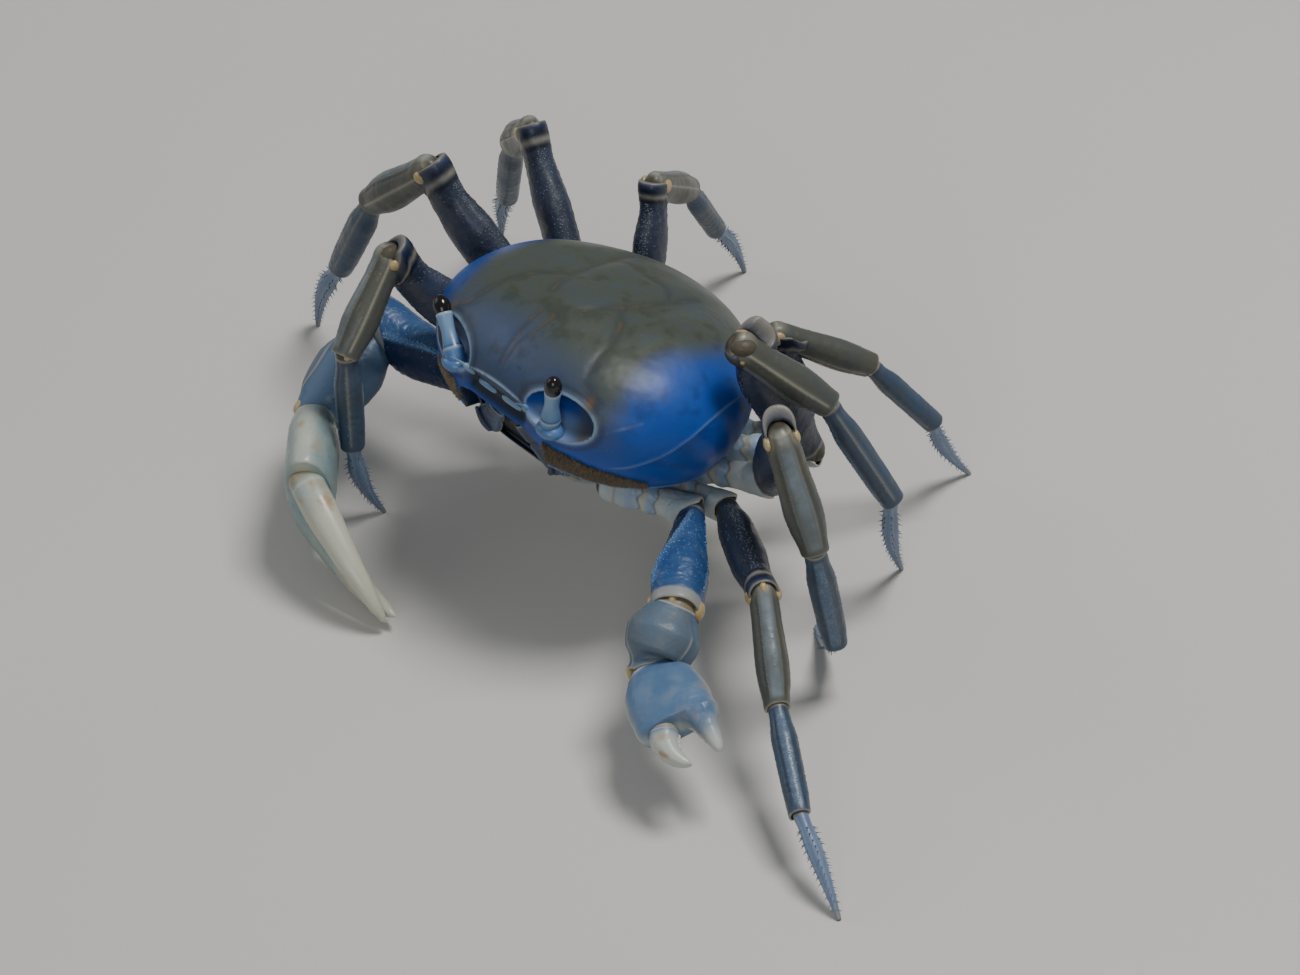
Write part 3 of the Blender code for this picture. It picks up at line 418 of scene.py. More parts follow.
@dataclass
class Loft:
    """A closed tube through stations, each with a centre and two half axes."""

    power: float = 2.3
    ridges: tuple[Ridge, ...] = ()
    keys: list[float] = field(default_factory=list)
    rows: list[np.ndarray] = field(default_factory=list)
    rough: float = 0.0
    slant: Vector = field(default_factory=lambda: Vector((0, 0, 0)))
    slant_angle: float = 180.0

    def add(self, key: float, centre: Vector, up: Vector, side: Vector) -> None:
        """Adds a station whose half axes are up and side."""
        self.keys.append(key)
        self.rows.append(np.array([*centre, *up, *side]))

    def close(self, key: float, centre: Vector, up: Vector, side: Vector) -> None:
        """Adds the point in which the tube ends."""
        self.add(key, centre, up * CLOSED, side * CLOSED)

    def points(self, row: np.ndarray, angle: np.ndarray) -> np.ndarray:
        """Finds points of the surface.

        Args:
            row: share along the stations, shape (n,).
            angle: turn round the tube in radians, 0 on its upper side.

        Returns:
            Points, shape (n, 3).
        """
        keys, table = np.array(self.keys), np.array(self.rows)
        centre, up, side = (flow(row, keys, table[:, 3 * k:3 * k + 3]) for k in range(3))
        c, s = np.cos(angle), np.sin(angle)
        u, v = signed_power(c, 2.0 / self.power)[:, None], signed_power(s, 2.0 / self.power)[:, None]
        swell = np.ones(len(row))
        for ridge in self.ridges:
            window = step(row, ridge.start - 0.06, ridge.start + 0.06)
            window *= 1 - step(row, ridge.end - 0.06, ridge.end + 0.06)
            away = angle_off(angle - np.radians(ridge.twist * row), ridge.angle)
            swell += ridge.height * window * bell(away, 0.0, ridge.width)
        lean = step(row, 0.62, 0.80) * (1 - step(row, 0.86, 1.0))
        lean *= np.clip(np.cos(angle - math.radians(self.slant_angle)), 0.0, 1.0)
        return centre + (up * u + side * v) * swell[:, None] + lean[:, None] * np.array(self.slant)

    def normals(self, row: np.ndarray, angle: np.ndarray) -> np.ndarray:
        """Finds the surface's outward normals.

        Args:
            row: share along the stations, shape (n,).
            angle: turn round the tube in radians.

        Returns:
            Unit normals, shape (n, 3).
        """
        small = 0.004
        a = self.points(np.clip(row + small, 0, 1), angle)
        a = a - self.points(np.clip(row - small, 0, 1), angle)
        b = self.points(row, angle + small) - self.points(row, angle - small)
        way = np.cross(a, b)
        way /= np.maximum(np.linalg.norm(way, axis=1, keepdims=True), 1e-12)
        keys, table = np.array(self.keys), np.array(self.rows)
        out = self.points(row, angle) - flow(row, keys, table[:, :3])
        return way * np.sign((way * out).sum(axis=1, keepdims=True) + 1e-12)

    def build(self, name: str, around: int, rows: int, marks: Callable | None = None) -> bpy.types.Object:
        """Moves a ball's points onto the surface.

        Args:
            name: name of the piece.
            around: points round the tube.
            rows: rows of faces from end to end.
            marks: function of (row, angle, points) that returns the four colour marks.

        Returns:
            The new object.
        """
        bm = plain_ball(around, rows)
        row, angle = ball_turns(bm)
        points = self.points(row, angle)
        if self.rough:
            inside = step(row, 0.08, 0.14) * (1 - step(row, 0.74, 0.82))
            bumps = turbulence(points, GRAIN_SCALE) * self.rough * inside
            points = points + self.normals(row, angle) * bumps[:, None]
        move_points(bm, points)
        return finish_mesh(bm, name, marks(row, angle, points) if marks else None)


def finish_mesh(bm: bmesh.types.BMesh, name: str, marks: np.ndarray | None = None) -> bpy.types.Object:
    """Turns a bmesh into a smooth-shaded object whose steep edges stay sharp.

    Args:
        bm: the mesh in work, which is freed.
        name: name of the object.
        marks: four colour marks for each point, or None.

    Returns:
        The new object, linked to the scene.
    """
    bmesh.ops.recalc_face_normals(bm, faces=bm.faces)
    mesh = bpy.data.meshes.new(name)
    bm.to_mesh(mesh)
    bm.free()
    paint_mesh(mesh, np.zeros((len(mesh.vertices), 4)) if marks is None else np.clip(marks, 0, 1))
    mesh.shade_smooth()
    mesh.set_sharp_from_angle(angle=math.radians(SHARP_EDGE))
    return show(name, mesh)


def scatter(name: str, template: bmesh.types.BMesh, places: list[Matrix],
            shades: list[float] | None = None) -> bpy.types.Object:
    """Joins many copies of a small shape into one mesh.

    Args:
        name: name of the object.
        template: the small shape, which is freed.
        places: one matrix for each copy.
        shades: first colour mark of each copy.

    Returns:
        The joined object.
    """
    corners = np.array([[*v.co, 1.0] for v in template.verts])
    faces = [[v.index for v in f.verts] for f in template.faces]
    template.free()
    every = np.array([np.array(m) for m in places])
    points = np.einsum("pij,vj->pvi", every, corners)[:, :, :3].reshape(-1, 3)
    count = len(corners)
    every_face = [[i + k * count for i in f] for k in range(len(places)) for f in faces]
    mesh = bpy.data.meshes.new(name)
    mesh.from_pydata(points.tolist(), [], every_face)
    tone = np.repeat(np.array(shades if shades else [0.0] * len(places)), count)
    paint_mesh(mesh, np.stack((tone, tone * 0, tone * 0, tone * 0), axis=1))
    mesh.shade_smooth()
    return show(name, mesh)


def turned(at: np.ndarray, way: np.ndarray, size: tuple[float, float, float]) -> Matrix:
    """Returns the matrix that stands a unit shape on a point along a direction."""
    turn = Vector(way).to_track_quat("Z", "Y").to_matrix().to_4x4()
    return Matrix.Translation(Vector(at)) @ turn @ Matrix.Diagonal((*size, 1.0))


def spike(sides: int, tip: float) -> bmesh.types.BMesh:
    """Makes a cone, one high, with its foot at the origin.

    Args:
        sides: how many sides it has.
        tip: radius of its upper end as a share of its foot's.

    Returns:
        The mesh in work.
    """
    bm = bmesh.new()
    bmesh.ops.create_cone(bm, cap_ends=True, segments=sides, radius1=1.0, radius2=tip, depth=1.0,
                          matrix=Matrix.Translation((0, 0, 0.5)))
    return bm


class Groups:
    """Shader effects that the finishes share."""

    @staticmethod
    def start(name: str, inputs: tuple, outputs: tuple) -> tuple:
        """Makes an empty node group.

        Args:
            name: name of the group.
            inputs: (name, kind, default) of each input.
            outputs: (name, kind) of each output.

        Returns:
            The group, its input node and its output node.
        """
        group = bpy.data.node_groups.new(name, "ShaderNodeTree")
        for label, kind, default in inputs:
            socket = group.interface.new_socket(label, in_out="INPUT", socket_type=kind)
            if default is not None:
                socket.default_value = default
        for label, kind in outputs:
            group.interface.new_socket(label, in_out="OUTPUT", socket_type=kind)
        return group, group.nodes.new("NodeGroupInput"), group.nodes.new("NodeGroupOutput")

    @classmethod
    def mottle(cls) -> bpy.types.NodeTree:
        """Makes the group of cloudy patches and fine specks once.

        Returns:
            The group, whose outputs are masks.
        """
        name = "mottle"
        if name in bpy.data.node_groups:
            return bpy.data.node_groups[name]
        group, source, sink = cls.start(
            name,
            (("Patch Scale", "NodeSocketFloat", 120.0), ("Speck Scale", "NodeSocketFloat", 1500.0),
             ("Speck Cover", "NodeSocketFloat", 0.3)),
            (("Patches", "NodeSocketFloat"), ("Specks", "NodeSocketFloat")),
        )
        nodes, links = group.nodes, group.links
        place = nodes.new("ShaderNodeTexCoord")
        cloud = nodes.new("ShaderNodeTexNoise")
        cloud.inputs["Detail"].default_value = 6.0
        links.new(place.outputs["Object"], cloud.inputs["Vector"])
        links.new(source.outputs["Patch Scale"], cloud.inputs["Scale"])
        soft = nodes.new("ShaderNodeMapRange")
        soft.inputs["From Min"].default_value = 0.36
        soft.inputs["From Max"].default_value = 0.66
        links.new(cloud.outputs["Fac"], soft.inputs["Value"])
        links.new(soft.outputs["Result"], sink.inputs["Patches"])
        dots = nodes.new("ShaderNodeTexVoronoi")
        links.new(place.outputs["Object"], dots.inputs["Vector"])
        links.new(source.outputs["Speck Scale"], dots.inputs["Scale"])
        edge = nodes.new("ShaderNodeMath")
        edge.operation = "LESS_THAN"
        links.new(dots.outputs["Distance"], edge.inputs[0])
        links.new(source.outputs["Speck Cover"], edge.inputs[1])
        links.new(edge.outputs[0], sink.inputs["Specks"])
        return group

    @classmethod
    def pitting(cls) -> bpy.types.NodeTree:
        """Makes the group of fine pits and grains once.

        Returns:
            The group, whose output is a height.
        """
        name = "pitting"
        if name in bpy.data.node_groups:
            return bpy.data.node_groups[name]
        group, source, sink = cls.start(
            name,
            (("Scale", "NodeSocketFloat", 1800.0), ("Wrinkles", "NodeSocketFloat", 0.5)),
            (("Height", "NodeSocketFloat"),),
        )
        nodes, links = group.nodes, group.links
        place = nodes.new("ShaderNodeTexCoord")
        cells = nodes.new("ShaderNodeTexVoronoi")
        cells.feature = "SMOOTH_F1"
        links.new(place.outputs["Object"], cells.inputs["Vector"])
        links.new(source.outputs["Scale"], cells.inputs["Scale"])
        fold = nodes.new("ShaderNodeTexNoise")
        fold.inputs["Scale"].default_value = 420.0
        fold.inputs["Detail"].default_value = 5.0
        links.new(place.outputs["Object"], fold.inputs["Vector"])
        mix = nodes.new("ShaderNodeMath")
        mix.operation = "MULTIPLY_ADD"
        links.new(fold.outputs["Fac"], mix.inputs[0])
        links.new(source.outputs["Wrinkles"], mix.inputs[1])
        links.new(cells.outputs["Distance"], mix.inputs[2])
        links.new(mix.outputs[0], sink.inputs["Height"])
        return group


Colour = tuple[float, float, float]
CREAM = (0.50, 0.42, 0.27)
OCHRE = (0.34, 0.19, 0.06)
SKIN = (0.050, 0.042, 0.026)


@dataclass(frozen=True)
class Finish:
    """A shell finish: a mottled base colour with four marked colours over it, pits and gloss."""

    name: str
    base: Colour
    cloud: Colour
    first: Colour = CREAM
    second: Colour = CREAM
    third: Colour = OCHRE
    fourth: Colour = (0.02, 0.02, 0.02)
    speck: Colour = (0.05, 0.05, 0.05)
    speck_share: float = 0.15
    cloud_share: float = 0.8
    patch_scale: float = 120.0
    speck_scale: float = 1500.0
    speck_cover: float = 0.18
    roughness: float = 0.42
    rough_spread: float = 0.12
    coat: float = 0.15
    pit_scale: float = 1800.0
    wrinkles: float = 0.5
    bump: float = 0.12
    specular: float = 0.4

    def material(self) -> bpy.types.Material:
        """Makes the material of this finish once.

        Returns:
            The material.
        """
        if self.name in bpy.data.materials:
            return bpy.data.materials[self.name]
        made = bpy.data.materials.new(self.name)
        made.use_nodes = True
        nodes, links = made.node_tree.nodes, made.node_tree.links
        shader = nodes["Principled BSDF"]
        shader.inputs["Coat Weight"].default_value = self.coat
        shader.inputs["Specular IOR Level"].default_value = self.specular
        shader.inputs["Coat Roughness"].default_value = 0.22
        mottle = nodes.new("ShaderNodeGroup")
        mottle.node_tree = Groups.mottle()
        mottle.inputs["Patch Scale"].default_value = self.patch_scale
        mottle.inputs["Speck Scale"].default_value = self.speck_scale
        mottle.inputs["Speck Cover"].default_value = self.speck_cover
        marks = nodes.new("ShaderNodeAttribute")
        marks.attribute_name = "marks"
        parts = nodes.new("ShaderNodeSeparateColor")
        links.new(marks.outputs["Color"], parts.inputs["Color"])

        def layer(below: bpy.types.NodeSocket | Colour, colour: Colour, mask: bpy.types.NodeSocket,
                  share: float = 1.0) -> bpy.types.NodeSocket:
            """Lays a colour over another by a mask.

            Args:
                below: the socket of the colour under it.
                colour: the colour on top.
                mask: where the top colour shows.
                share: how strongly it shows.

            Returns:
                The mixed colour's socket.
            """
            mix = nodes.new("ShaderNodeMix")
            mix.data_type = "RGBA"
            mix.inputs["B"].default_value = (*colour, 1.0)
            if isinstance(below, tuple):
                mix.inputs["A"].default_value = (*below, 1.0)
            else:
                links.new(below, mix.inputs["A"])
            scaled = nodes.new("ShaderNodeMath")
            scaled.operation = "MULTIPLY"
            scaled.use_clamp = True
            links.new(mask, scaled.inputs[0])
            scaled.inputs[1].default_value = share
            links.new(scaled.outputs[0], mix.inputs["Factor"])
            return mix.outputs["Result"]

        colour = layer(self.base, self.cloud, mottle.outputs["Patches"], self.cloud_share)
        colour = layer(colour, self.first, parts.outputs["Red"])
        colour = layer(colour, self.second, parts.outputs["Green"])
        colour = layer(colour, self.third, parts.outputs["Blue"])
        colour = layer(colour, self.fourth, marks.outputs["Alpha"])
        colour = layer(colour, self.speck, mottle.outputs["Specks"], self.speck_share)
        links.new(colour, shader.inputs["Base Color"])
        gloss = nodes.new("ShaderNodeMapRange")
        gloss.inputs["To Min"].default_value = self.roughness - self.rough_spread
        gloss.inputs["To Max"].default_value = self.roughness + self.rough_spread
        links.new(mottle.outputs["Patches"], gloss.inputs["Value"])
        links.new(gloss.outputs["Result"], shader.inputs["Roughness"])
        pits = nodes.new("ShaderNodeGroup")
        pits.node_tree = Groups.pitting()
        pits.inputs["Scale"].default_value = self.pit_scale
        pits.inputs["Wrinkles"].default_value = self.wrinkles
        bump = nodes.new("ShaderNodeBump")
        bump.inputs["Strength"].default_value = self.bump
        bump.inputs["Distance"].default_value = 0.3 * MM
        links.new(pits.outputs["Height"], bump.inputs["Height"])
        links.new(bump.outputs["Normal"], shader.inputs["Normal"])
        return made


FINISHES = {
    # the fourth colour, (0.012, 0.018, 0.024), is painted shade in the grooves, round and inside the orbits,
    # in the notch and under the brow, and also the shell's random dark patches
    Slot.SHELL: Finish(
        "shell_blue_olive", (0.007, 0.066, 0.34), (0.005, 0.052, 0.25), (0.060, 0.070, 0.050),
        (0.26, 0.36, 0.46), (0.22, 0.12, 0.035), (0.012, 0.018, 0.024), patch_scale=80.0,
        speck=(0.10, 0.20, 0.36), speck_share=0.22, speck_scale=900.0, speck_cover=0.13,
        roughness=0.42, rough_spread=0.05, coat=0.04, pit_scale=3600.0, wrinkles=0.03, bump=0.035,
        cloud_share=0.6, specular=0.32,
    ),
    # the fourth colour, grey-black, is painted shade on the socket walls, and also the dark grooves and the
    # flap's joints
    Slot.UNDERSIDE: Finish(
        "breast_cream", (0.36, 0.36, 0.27), (0.22, 0.28, 0.29), (0.10, 0.19, 0.32), CREAM, OCHRE,
        (0.05, 0.05, 0.05), roughness=0.5,
    ),
    Slot.HIP: Finish(
        "hip_pale", (0.44, 0.48, 0.47), (0.26, 0.34, 0.40), (0.13, 0.24, 0.42), CREAM,
        (0.06, 0.07, 0.08), SKIN, roughness=0.42, cloud_share=0.8, bump=0.2,
    ),
    Slot.MERUS: Finish(
        "leg_indigo", (0.010, 0.016, 0.042), (0.014, 0.032, 0.090), (0.060, 0.066, 0.070),
        (0.27, 0.25, 0.19), (0.006, 0.007, 0.010), SKIN, roughness=0.48, wrinkles=1.0, bump=0.2,
        speck=(0.12, 0.11, 0.09), speck_share=0.5, speck_scale=1400.0, speck_cover=0.16,
    ),
    Slot.CARPUS: Finish(
        "leg_olive", (0.080, 0.080, 0.060), (0.058, 0.068, 0.068), (0.15, 0.185, 0.205),
        (0.36, 0.33, 0.24), (0.016, 0.018, 0.018), SKIN, roughness=0.44, bump=0.18,
    ),
    Slot.PROPODUS: Finish(
        "leg_slate", (0.040, 0.058, 0.084), (0.040, 0.074, 0.13), (0.115, 0.175, 0.26),
        (0.34, 0.32, 0.24), (0.010, 0.015, 0.026), SKIN, roughness=0.44, bump=0.2,
    ),
    Slot.DACTYL: Finish(
        "leg_lilac", (0.11, 0.16, 0.25), (0.16, 0.21, 0.30), (0.24, 0.31, 0.44),
        (0.30, 0.25, 0.16), (0.035, 0.03, 0.03), SKIN, roughness=0.45, bump=0.2,
    ),
    # the third colour, dark navy, is painted shade on the arm's face beyond its ridge, and the dark rings
    # near its ends
    Slot.ARM: Finish(
        "arm_blue", (0.020, 0.066, 0.19), (0.030, 0.080, 0.19), (0.10, 0.19, 0.32),
        (0.36, 0.35, 0.28), (0.008, 0.018, 0.055), SKIN, roughness=0.40, wrinkles=1.0, bump=0.22,
    ),
    Slot.WRIST: Finish(
        "wrist_slate", (0.085, 0.130, 0.185), (0.100, 0.125, 0.140), (0.060, 0.125, 0.235),
        (0.44, 0.42, 0.32), (0.026, 0.036, 0.055), (0.20, 0.16, 0.085), roughness=0.56, bump=0.16,
        speck=(0.20, 0.21, 0.18), speck_share=0.35,
    ),
    Slot.SMALL: Finish(
        "palm_sky", (0.068, 0.140, 0.26), (0.084, 0.155, 0.26), (0.14, 0.23, 0.34),
        (0.52, 0.53, 0.45), OCHRE, (0.30, 0.27, 0.18), roughness=0.40, bump=0.12,
    ),
    Slot.LARGE: Finish(
        "palm_pale", (0.20, 0.29, 0.31), (0.27, 0.34, 0.31), (0.34, 0.42, 0.41),
        (0.54, 0.52, 0.40), OCHRE, (0.30, 0.27, 0.18), roughness=0.38, bump=0.12,
        speck=(0.06, 0.06, 0.045), speck_share=0.55, speck_scale=700.0, speck_cover=0.10,
    ),
    Slot.EYESTALK: Finish(
        "stalk_blue", (0.060, 0.15, 0.34), (0.10, 0.21, 0.38), (0.20, 0.32, 0.46),
        (0.42, 0.48, 0.48), (0.02, 0.04, 0.09), (0.02, 0.03, 0.05), roughness=0.34, coat=0.3,
        bump=0.06,
    ),
    # the fourth colour, near black, is painted shade in the block's hollow front, and the dark line between
    # each plate's two parts
    Slot.MOUTH: Finish(
        "mouth_navy", (0.012, 0.026, 0.075), (0.030, 0.045, 0.080), (0.13, 0.20, 0.32),
        (0.34, 0.40, 0.42), (0.07, 0.055, 0.035), (0.006, 0.007, 0.009), roughness=0.34, coat=0.25,
        bump=0.14,
    ),
}
CONDYLE = Finish(
    "knob_cream", (0.46, 0.36, 0.18), (0.36, 0.23, 0.09), (0.5, 0.42, 0.28), CREAM, OCHRE,
    roughness=0.35, coat=0.3,
)
LEG_SKIN = Finish(
    "leg_skin", (0.085, 0.072, 0.046), (0.050, 0.042, 0.026), roughness=0.6,
    wrinkles=2.0, bump=0.35, coat=0.05,
)
CLAW_SKIN = Finish(
    "claw_skin", (0.20, 0.165, 0.090), (0.12, 0.095, 0.045), roughness=0.55,
    wrinkles=2.0, bump=0.35, coat=0.05,
)
GRAIN = Finish(
    "grain_pale", (0.12, 0.17, 0.24), (0.16, 0.20, 0.24), roughness=0.48,
)
GRAIN_BLUE = Finish(
    "grain_blue", (0.08, 0.20, 0.44), (0.16, 0.28, 0.46), roughness=0.42,
)
TOOTH = Finish(
    "tooth_cream", (0.54, 0.53, 0.44), (0.42, 0.38, 0.26), roughness=0.35,
)
FUR = Finish(
    "fur_brown", (0.16, 0.125, 0.080), (0.21, 0.17, 0.115), (0.36, 0.31, 0.23), CREAM, OCHRE,
    roughness=0.85, coat=0.0, bump=0.0,
)
FEELER = Finish(
    "feeler_blue", (0.13, 0.24, 0.38), (0.20, 0.30, 0.40), (0.3, 0.4, 0.46), CREAM, OCHRE,
    roughness=0.36, coat=0.2, bump=0.06,
)
CORNEA = Finish(
    "cornea_black", (0.004, 0.004, 0.005), (0.010, 0.008, 0.008), (0.05, 0.05, 0.06), CREAM, OCHRE,
    speck_share=0.0, roughness=0.10, rough_spread=0.02, coat=0.25, bump=0.0,
)


@dataclass
class Dresser:
    """Puts finished pieces on the object and reports them."""

    count: int = 0

    def dress(self, piece: bpy.types.Object, slot: Slot, nodes: tuple[str, ...] = (),
              finish: Finish | None = None) -> None:
        """Keeps a piece inside the solids' box, gives it its finish, hides the CAD nodes that it replaces and
        ties it to the root body.

        Args:
            piece: the finished piece.
            slot: the record's material slot.
            nodes: CAD nodes that it replaces.
            finish: a finish other than the slot's own.
        """
        places = np.empty(len(piece.data.vertices) * 3, np.float32)
        piece.data.vertices.foreach_get("co", places)
        inside = np.clip(places.reshape(-1, 3), CAD_BOX[0], CAD_BOX[1])
        piece.data.vertices.foreach_set("co", inside.astype(np.float32).ravel())
        piece.data.materials.clear()
        piece.data.materials.append((finish or FINISHES[slot]).material())
        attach(piece, "root")
        if nodes:
            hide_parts(*nodes)
        self.count += 1
        log.info("piece %s: %d faces", piece.name, len(piece.data.polygons))


@dataclass(frozen=True)
class Body:
    """Carries points of the shell's own frame to their place over the floor."""

    shift: Vector

    @classmethod
    def from_frame(cls) -> "Body":
        """Finds the place from the middle of the left eye.

        Returns:
            The carrier of the shell's own frame.
        """
        low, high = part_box("eye_left")
        plain = cls(Vector((0, 0, 0)))
        eye = plain.tilt(Vector(STALK_AT)) + aim(*STALK_WAYS[1]) * STALK_LENGTH * MM
        return cls((low + high) / 2 - eye)

    def tilt(self, point: Vector) -> Vector:
        """Carries a point in millimetres of the shell's frame to metres over the floor."""
        return TILT @ (Vector(point) * MM) + Vector(LEVEL) + self.shift

    def tilt_all(self, points: np.ndarray) -> np.ndarray:
        """Carries many points in millimetres at once."""
        return points * MM @ np.array(TILT).T + np.array(self.shift) + np.array(LEVEL)

    def untilt_all(self, points: np.ndarray) -> np.ndarray:
        """Carries many places over the floor back to millimetres of the shell's frame."""
        return (points - np.array(self.shift) - np.array(LEVEL)) @ np.array(TILT) / MM

    def place(self, point: tuple) -> Vector:
        """Carries an untilted point in millimetres."""
        return Vector(point) * MM + self.shift


@dataclass
class Shell:
    """The carapace with its orbits, grooves and rims."""

    body: Body
    dresser: Dresser
    around: int = 440
    rows: int = 200
    # share of the rows above the lower edge, beyond which they close the underside
    rim_share: float = 0.92
    # grooves of the left half seen from above, as (x, y) in the shell's frame, with depth and width
    grooves: tuple = (
        (((29.8, -30.0), (25.1, -28.6), (23.5, -25.9), (21.4, -18.2), (17.2, -10.9), (12.0, -6.0)),
         0.30, 1.6),
        (((6.8, -15.3), (9.4, -8.0), (11.0, -1.8), (12.5, 9.1), (13.7, 19.9)), 0.32, 1.7),
        (((0.6, -36.3), (1.0, -32.8), (2.3, -26.3), (2.5, -22.0)), 0.2, 0.9),
        (((0.0, 13.5), (7.0, 14.5), (12.8, 12.0)), 0.22, 1.5),
    )
    crease: tuple = ((33.5, -30.4, 1.8), (39.4, -25.4, 5.5), (41.9, -21.3, 7.4))
    spot: tuple = (29.8, -30.0)

    @staticmethod
    def outline(angle: np.ndarray) -> np.ndarray:
        """Finds the outline seen from above.

        Args:
            angle: turns round the shell in radians.

        Returns:
            Radii in millimetres.
        """
        c, s = np.cos(angle), np.sin(angle)
        back = s > 0
        b = np.where(back, REAR, FRONT)
        p = np.where(back, REAR_POWER, FRONT_POWER)
        return (np.abs(c / HALF) ** p + np.abs(s / b) ** p) ** (-1.0 / p)

    @staticmethod
    def rim_height(y: np.ndarray) -> np.ndarray:
        """Returns the height of the lower edge, which rises toward the rear."""
        return -RIM_DROP + RIM_RISE * (np.maximum(0.0, y) / REAR) ** 1.5

    @staticmethod
    def swell(x: np.ndarray, y: np.ndarray) -> np.ndarray:
        """Finds the height of the low lobes of the upper face.

        Args:
            x: places to the side in millimetres.
            y: places to the rear in millimetres.

        Returns:
            Heights in millimetres.
        """
        x, y = np.abs(x) / HALF, y / REAR
        lobe = 0.035 * np.exp(-((x - 0.62) ** 2 + (y - 0.1) ** 2) / 0.09)
        lobe += 0.03 * np.exp(-(x ** 2 + (y + 0.35) ** 2) / 0.05)
        lobe -= 0.03 * np.exp(-((x - 0.30) ** 2 / 0.012 + (y - 0.12) ** 2 / 0.12))
        return lobe * TOP * 2.0

    def surface(self, angle: np.ndarray, lift: np.ndarray) -> np.ndarray:
        """Finds points of the plain dome.

        Args:
            angle: turns round the shell in radians.
            lift: lift angles in radians, negative below.

        Returns:
            Points in millimetres, shape (n, 3).
        """
        upper = lift >= 0
        power = np.where(upper, UPPER_POWER, LOWER_POWER)
        reach = self.outline(angle) * np.abs(np.cos(lift)) ** (2.0 / power)
        height = np.where(upper, TOP, -DEEP) * np.abs(np.sin(lift)) ** (2.0 / power)
        x, y = np.cos(angle) * reach, np.sin(angle) * reach
        x = x * (1.0 - REAR_NARROWING * (np.maximum(0.0, y) / REAR) ** 1.2)
        height = height + np.where(upper, self.swell(x, y) * np.sin(lift), 0.0)
        return np.stack((x, y, height), axis=1)

    def low_lift(self, angle: np.ndarray) -> np.ndarray:
        """Finds where the dome reaches its lower edge.

        Args:
            angle: turns round the shell in radians.

        Returns:
            Lift angles in radians.
        """
        low, high = np.full(len(angle), -1.2), np.zeros(len(angle))
        for _ in range(26):
            middle = (low + high) / 2
            points = self.surface(angle, middle)
            under = points[:, 2] < self.rim_height(points[:, 1])
            low, high = np.where(under, middle, low), np.where(under, high, middle)
        return high

    @staticmethod
    def distance(points: np.ndarray, path: tuple) -> np.ndarray:
        """Measures how far points are from a broken line.

        Args:
            points: places, shape (n, axes).
            path: corners of the line, with as many axes.

        Returns:
            Distances, shape (n,).
        """
        best = np.full(len(points), 1e9)
        for a, b in zip(path, path[1:]):
            a, b = np.array(a), np.array(b)
            t = np.clip(((points - a) @ (b - a)) / ((b - a) @ (b - a)), 0, 1)
            best = np.minimum(best, np.linalg.norm(points - a - t[:, None] * (b - a), axis=1))
        return best

    @staticmethod
    def orbit_local(points: np.ndarray, side: int) -> np.ndarray:
        """Carries points to an orbit's own frame.

        Args:
            points: places in millimetres of the shell's frame.
            side: 1 on the left, -1 on the right.

        Returns:
            Places in millimetres from the orbit's middle.
        """
        turn = math.radians(side * ORBIT_TURN)
        d = points - np.array((ORBIT_AT[0] * side, ORBIT_AT[1], ORBIT_AT[2]))
        x = d[:, 0] * math.cos(turn) + d[:, 1] * math.sin(turn)
        y = -d[:, 0] * math.sin(turn) + d[:, 1] * math.cos(turn)
        return np.stack((x, y, d[:, 2]), axis=1)

    @classmethod
    def orbit_away(cls, points: np.ndarray, side: int) -> np.ndarray:
        """Measures how far points lie outside an orbit's bowl.

        Args:
            points: places in millimetres of the shell's frame.
            side: 1 on the left, -1 on the right.

        Returns:
            Distances in millimetres.
        """
        local, radii = cls.orbit_local(points, side), np.array(ORBIT_HALF)
        share = np.linalg.norm(local / radii, axis=1)
        steep = np.maximum(np.linalg.norm(local / radii ** 2, axis=1), TINY)
        return (share - 1.0) * share / steep

    def paint_inside(self, shell: bpy.types.Object) -> None:
        """Paints the walls of the orbits and of the mouth's notch by their place, with painted shade on the
        upper and outer walls of each orbit and over the whole notch.

        Args:
            shell: the carved carapace.
        """
        count = len(shell.data.vertices)
        places, marks = np.zeros(count * 3, np.float32), np.zeros(count * 4, np.float32)
        shell.data.vertices.foreach_get("co", places)
        shell.data.attributes["marks"].data.foreach_get("color", marks)
        points = self.body.untilt_all(places.reshape(-1, 3).astype(float))
        marks = marks.reshape(-1, 4)
        for side in (1, -1):
            inside = (np.abs(self.orbit_away(points, side)) < 0.06) & (points[:, 0] * side > 0)
            local = self.orbit_local(points[inside], side) / np.array(ORBIT_HALF)
            outer, low = local[:, 0] * side, -local[:, 2]
            fine = turbulence(local, 3.0, 7.0)
            marks[inside] = np.stack((
                0.75 * step(outer + 0.15 * fine, 0.0, 0.6),
                0.55 * step(low, -0.1, 0.6) * (1 - step(outer, 0.1, 0.75)),
                0.25 * step(outer, 0.2, 0.7) * step(low, 0.0, 0.5),
                # painted shade on the outer and upper walls of the orbit's recess
                np.maximum(0.92 * step(outer, 0.80, 0.93), 0.6 * step(-low, 0.1, 0.7)),
            ), axis=1)
        wide = np.abs(points[:, 0]) < MOUTH_HALF + 0.4
        notch = wide & (points[:, 2] < MOUTH_TOP + 0.36) & (self.surface_gap(points) < -0.3)
        # painted shade over the walls of the mouth's notch
        marks[notch] = (0.0, 0.0, 0.0, 0.9)
        shell.data.attributes["marks"].data.foreach_set("color", marks.ravel())

    @classmethod
    def surface_gap(cls, points: np.ndarray) -> np.ndarray:
        """Measures about how far points lie outside the plain dome, seen from above.

        Args:
            points: places in millimetres of the shell's frame.

        Returns:
            Distances in millimetres.
        """
        reach = np.hypot(points[:, 0], points[:, 1])
        upper = points[:, 2] >= 0
        power, tall = np.where(upper, UPPER_POWER, LOWER_POWER), np.where(upper, TOP, DEEP)
        level = np.clip(1 - (np.abs(points[:, 2]) / tall) ** power, 0, 1) ** (1 / power)
        return reach - cls.outline(np.arctan2(points[:, 1], points[:, 0])) * level

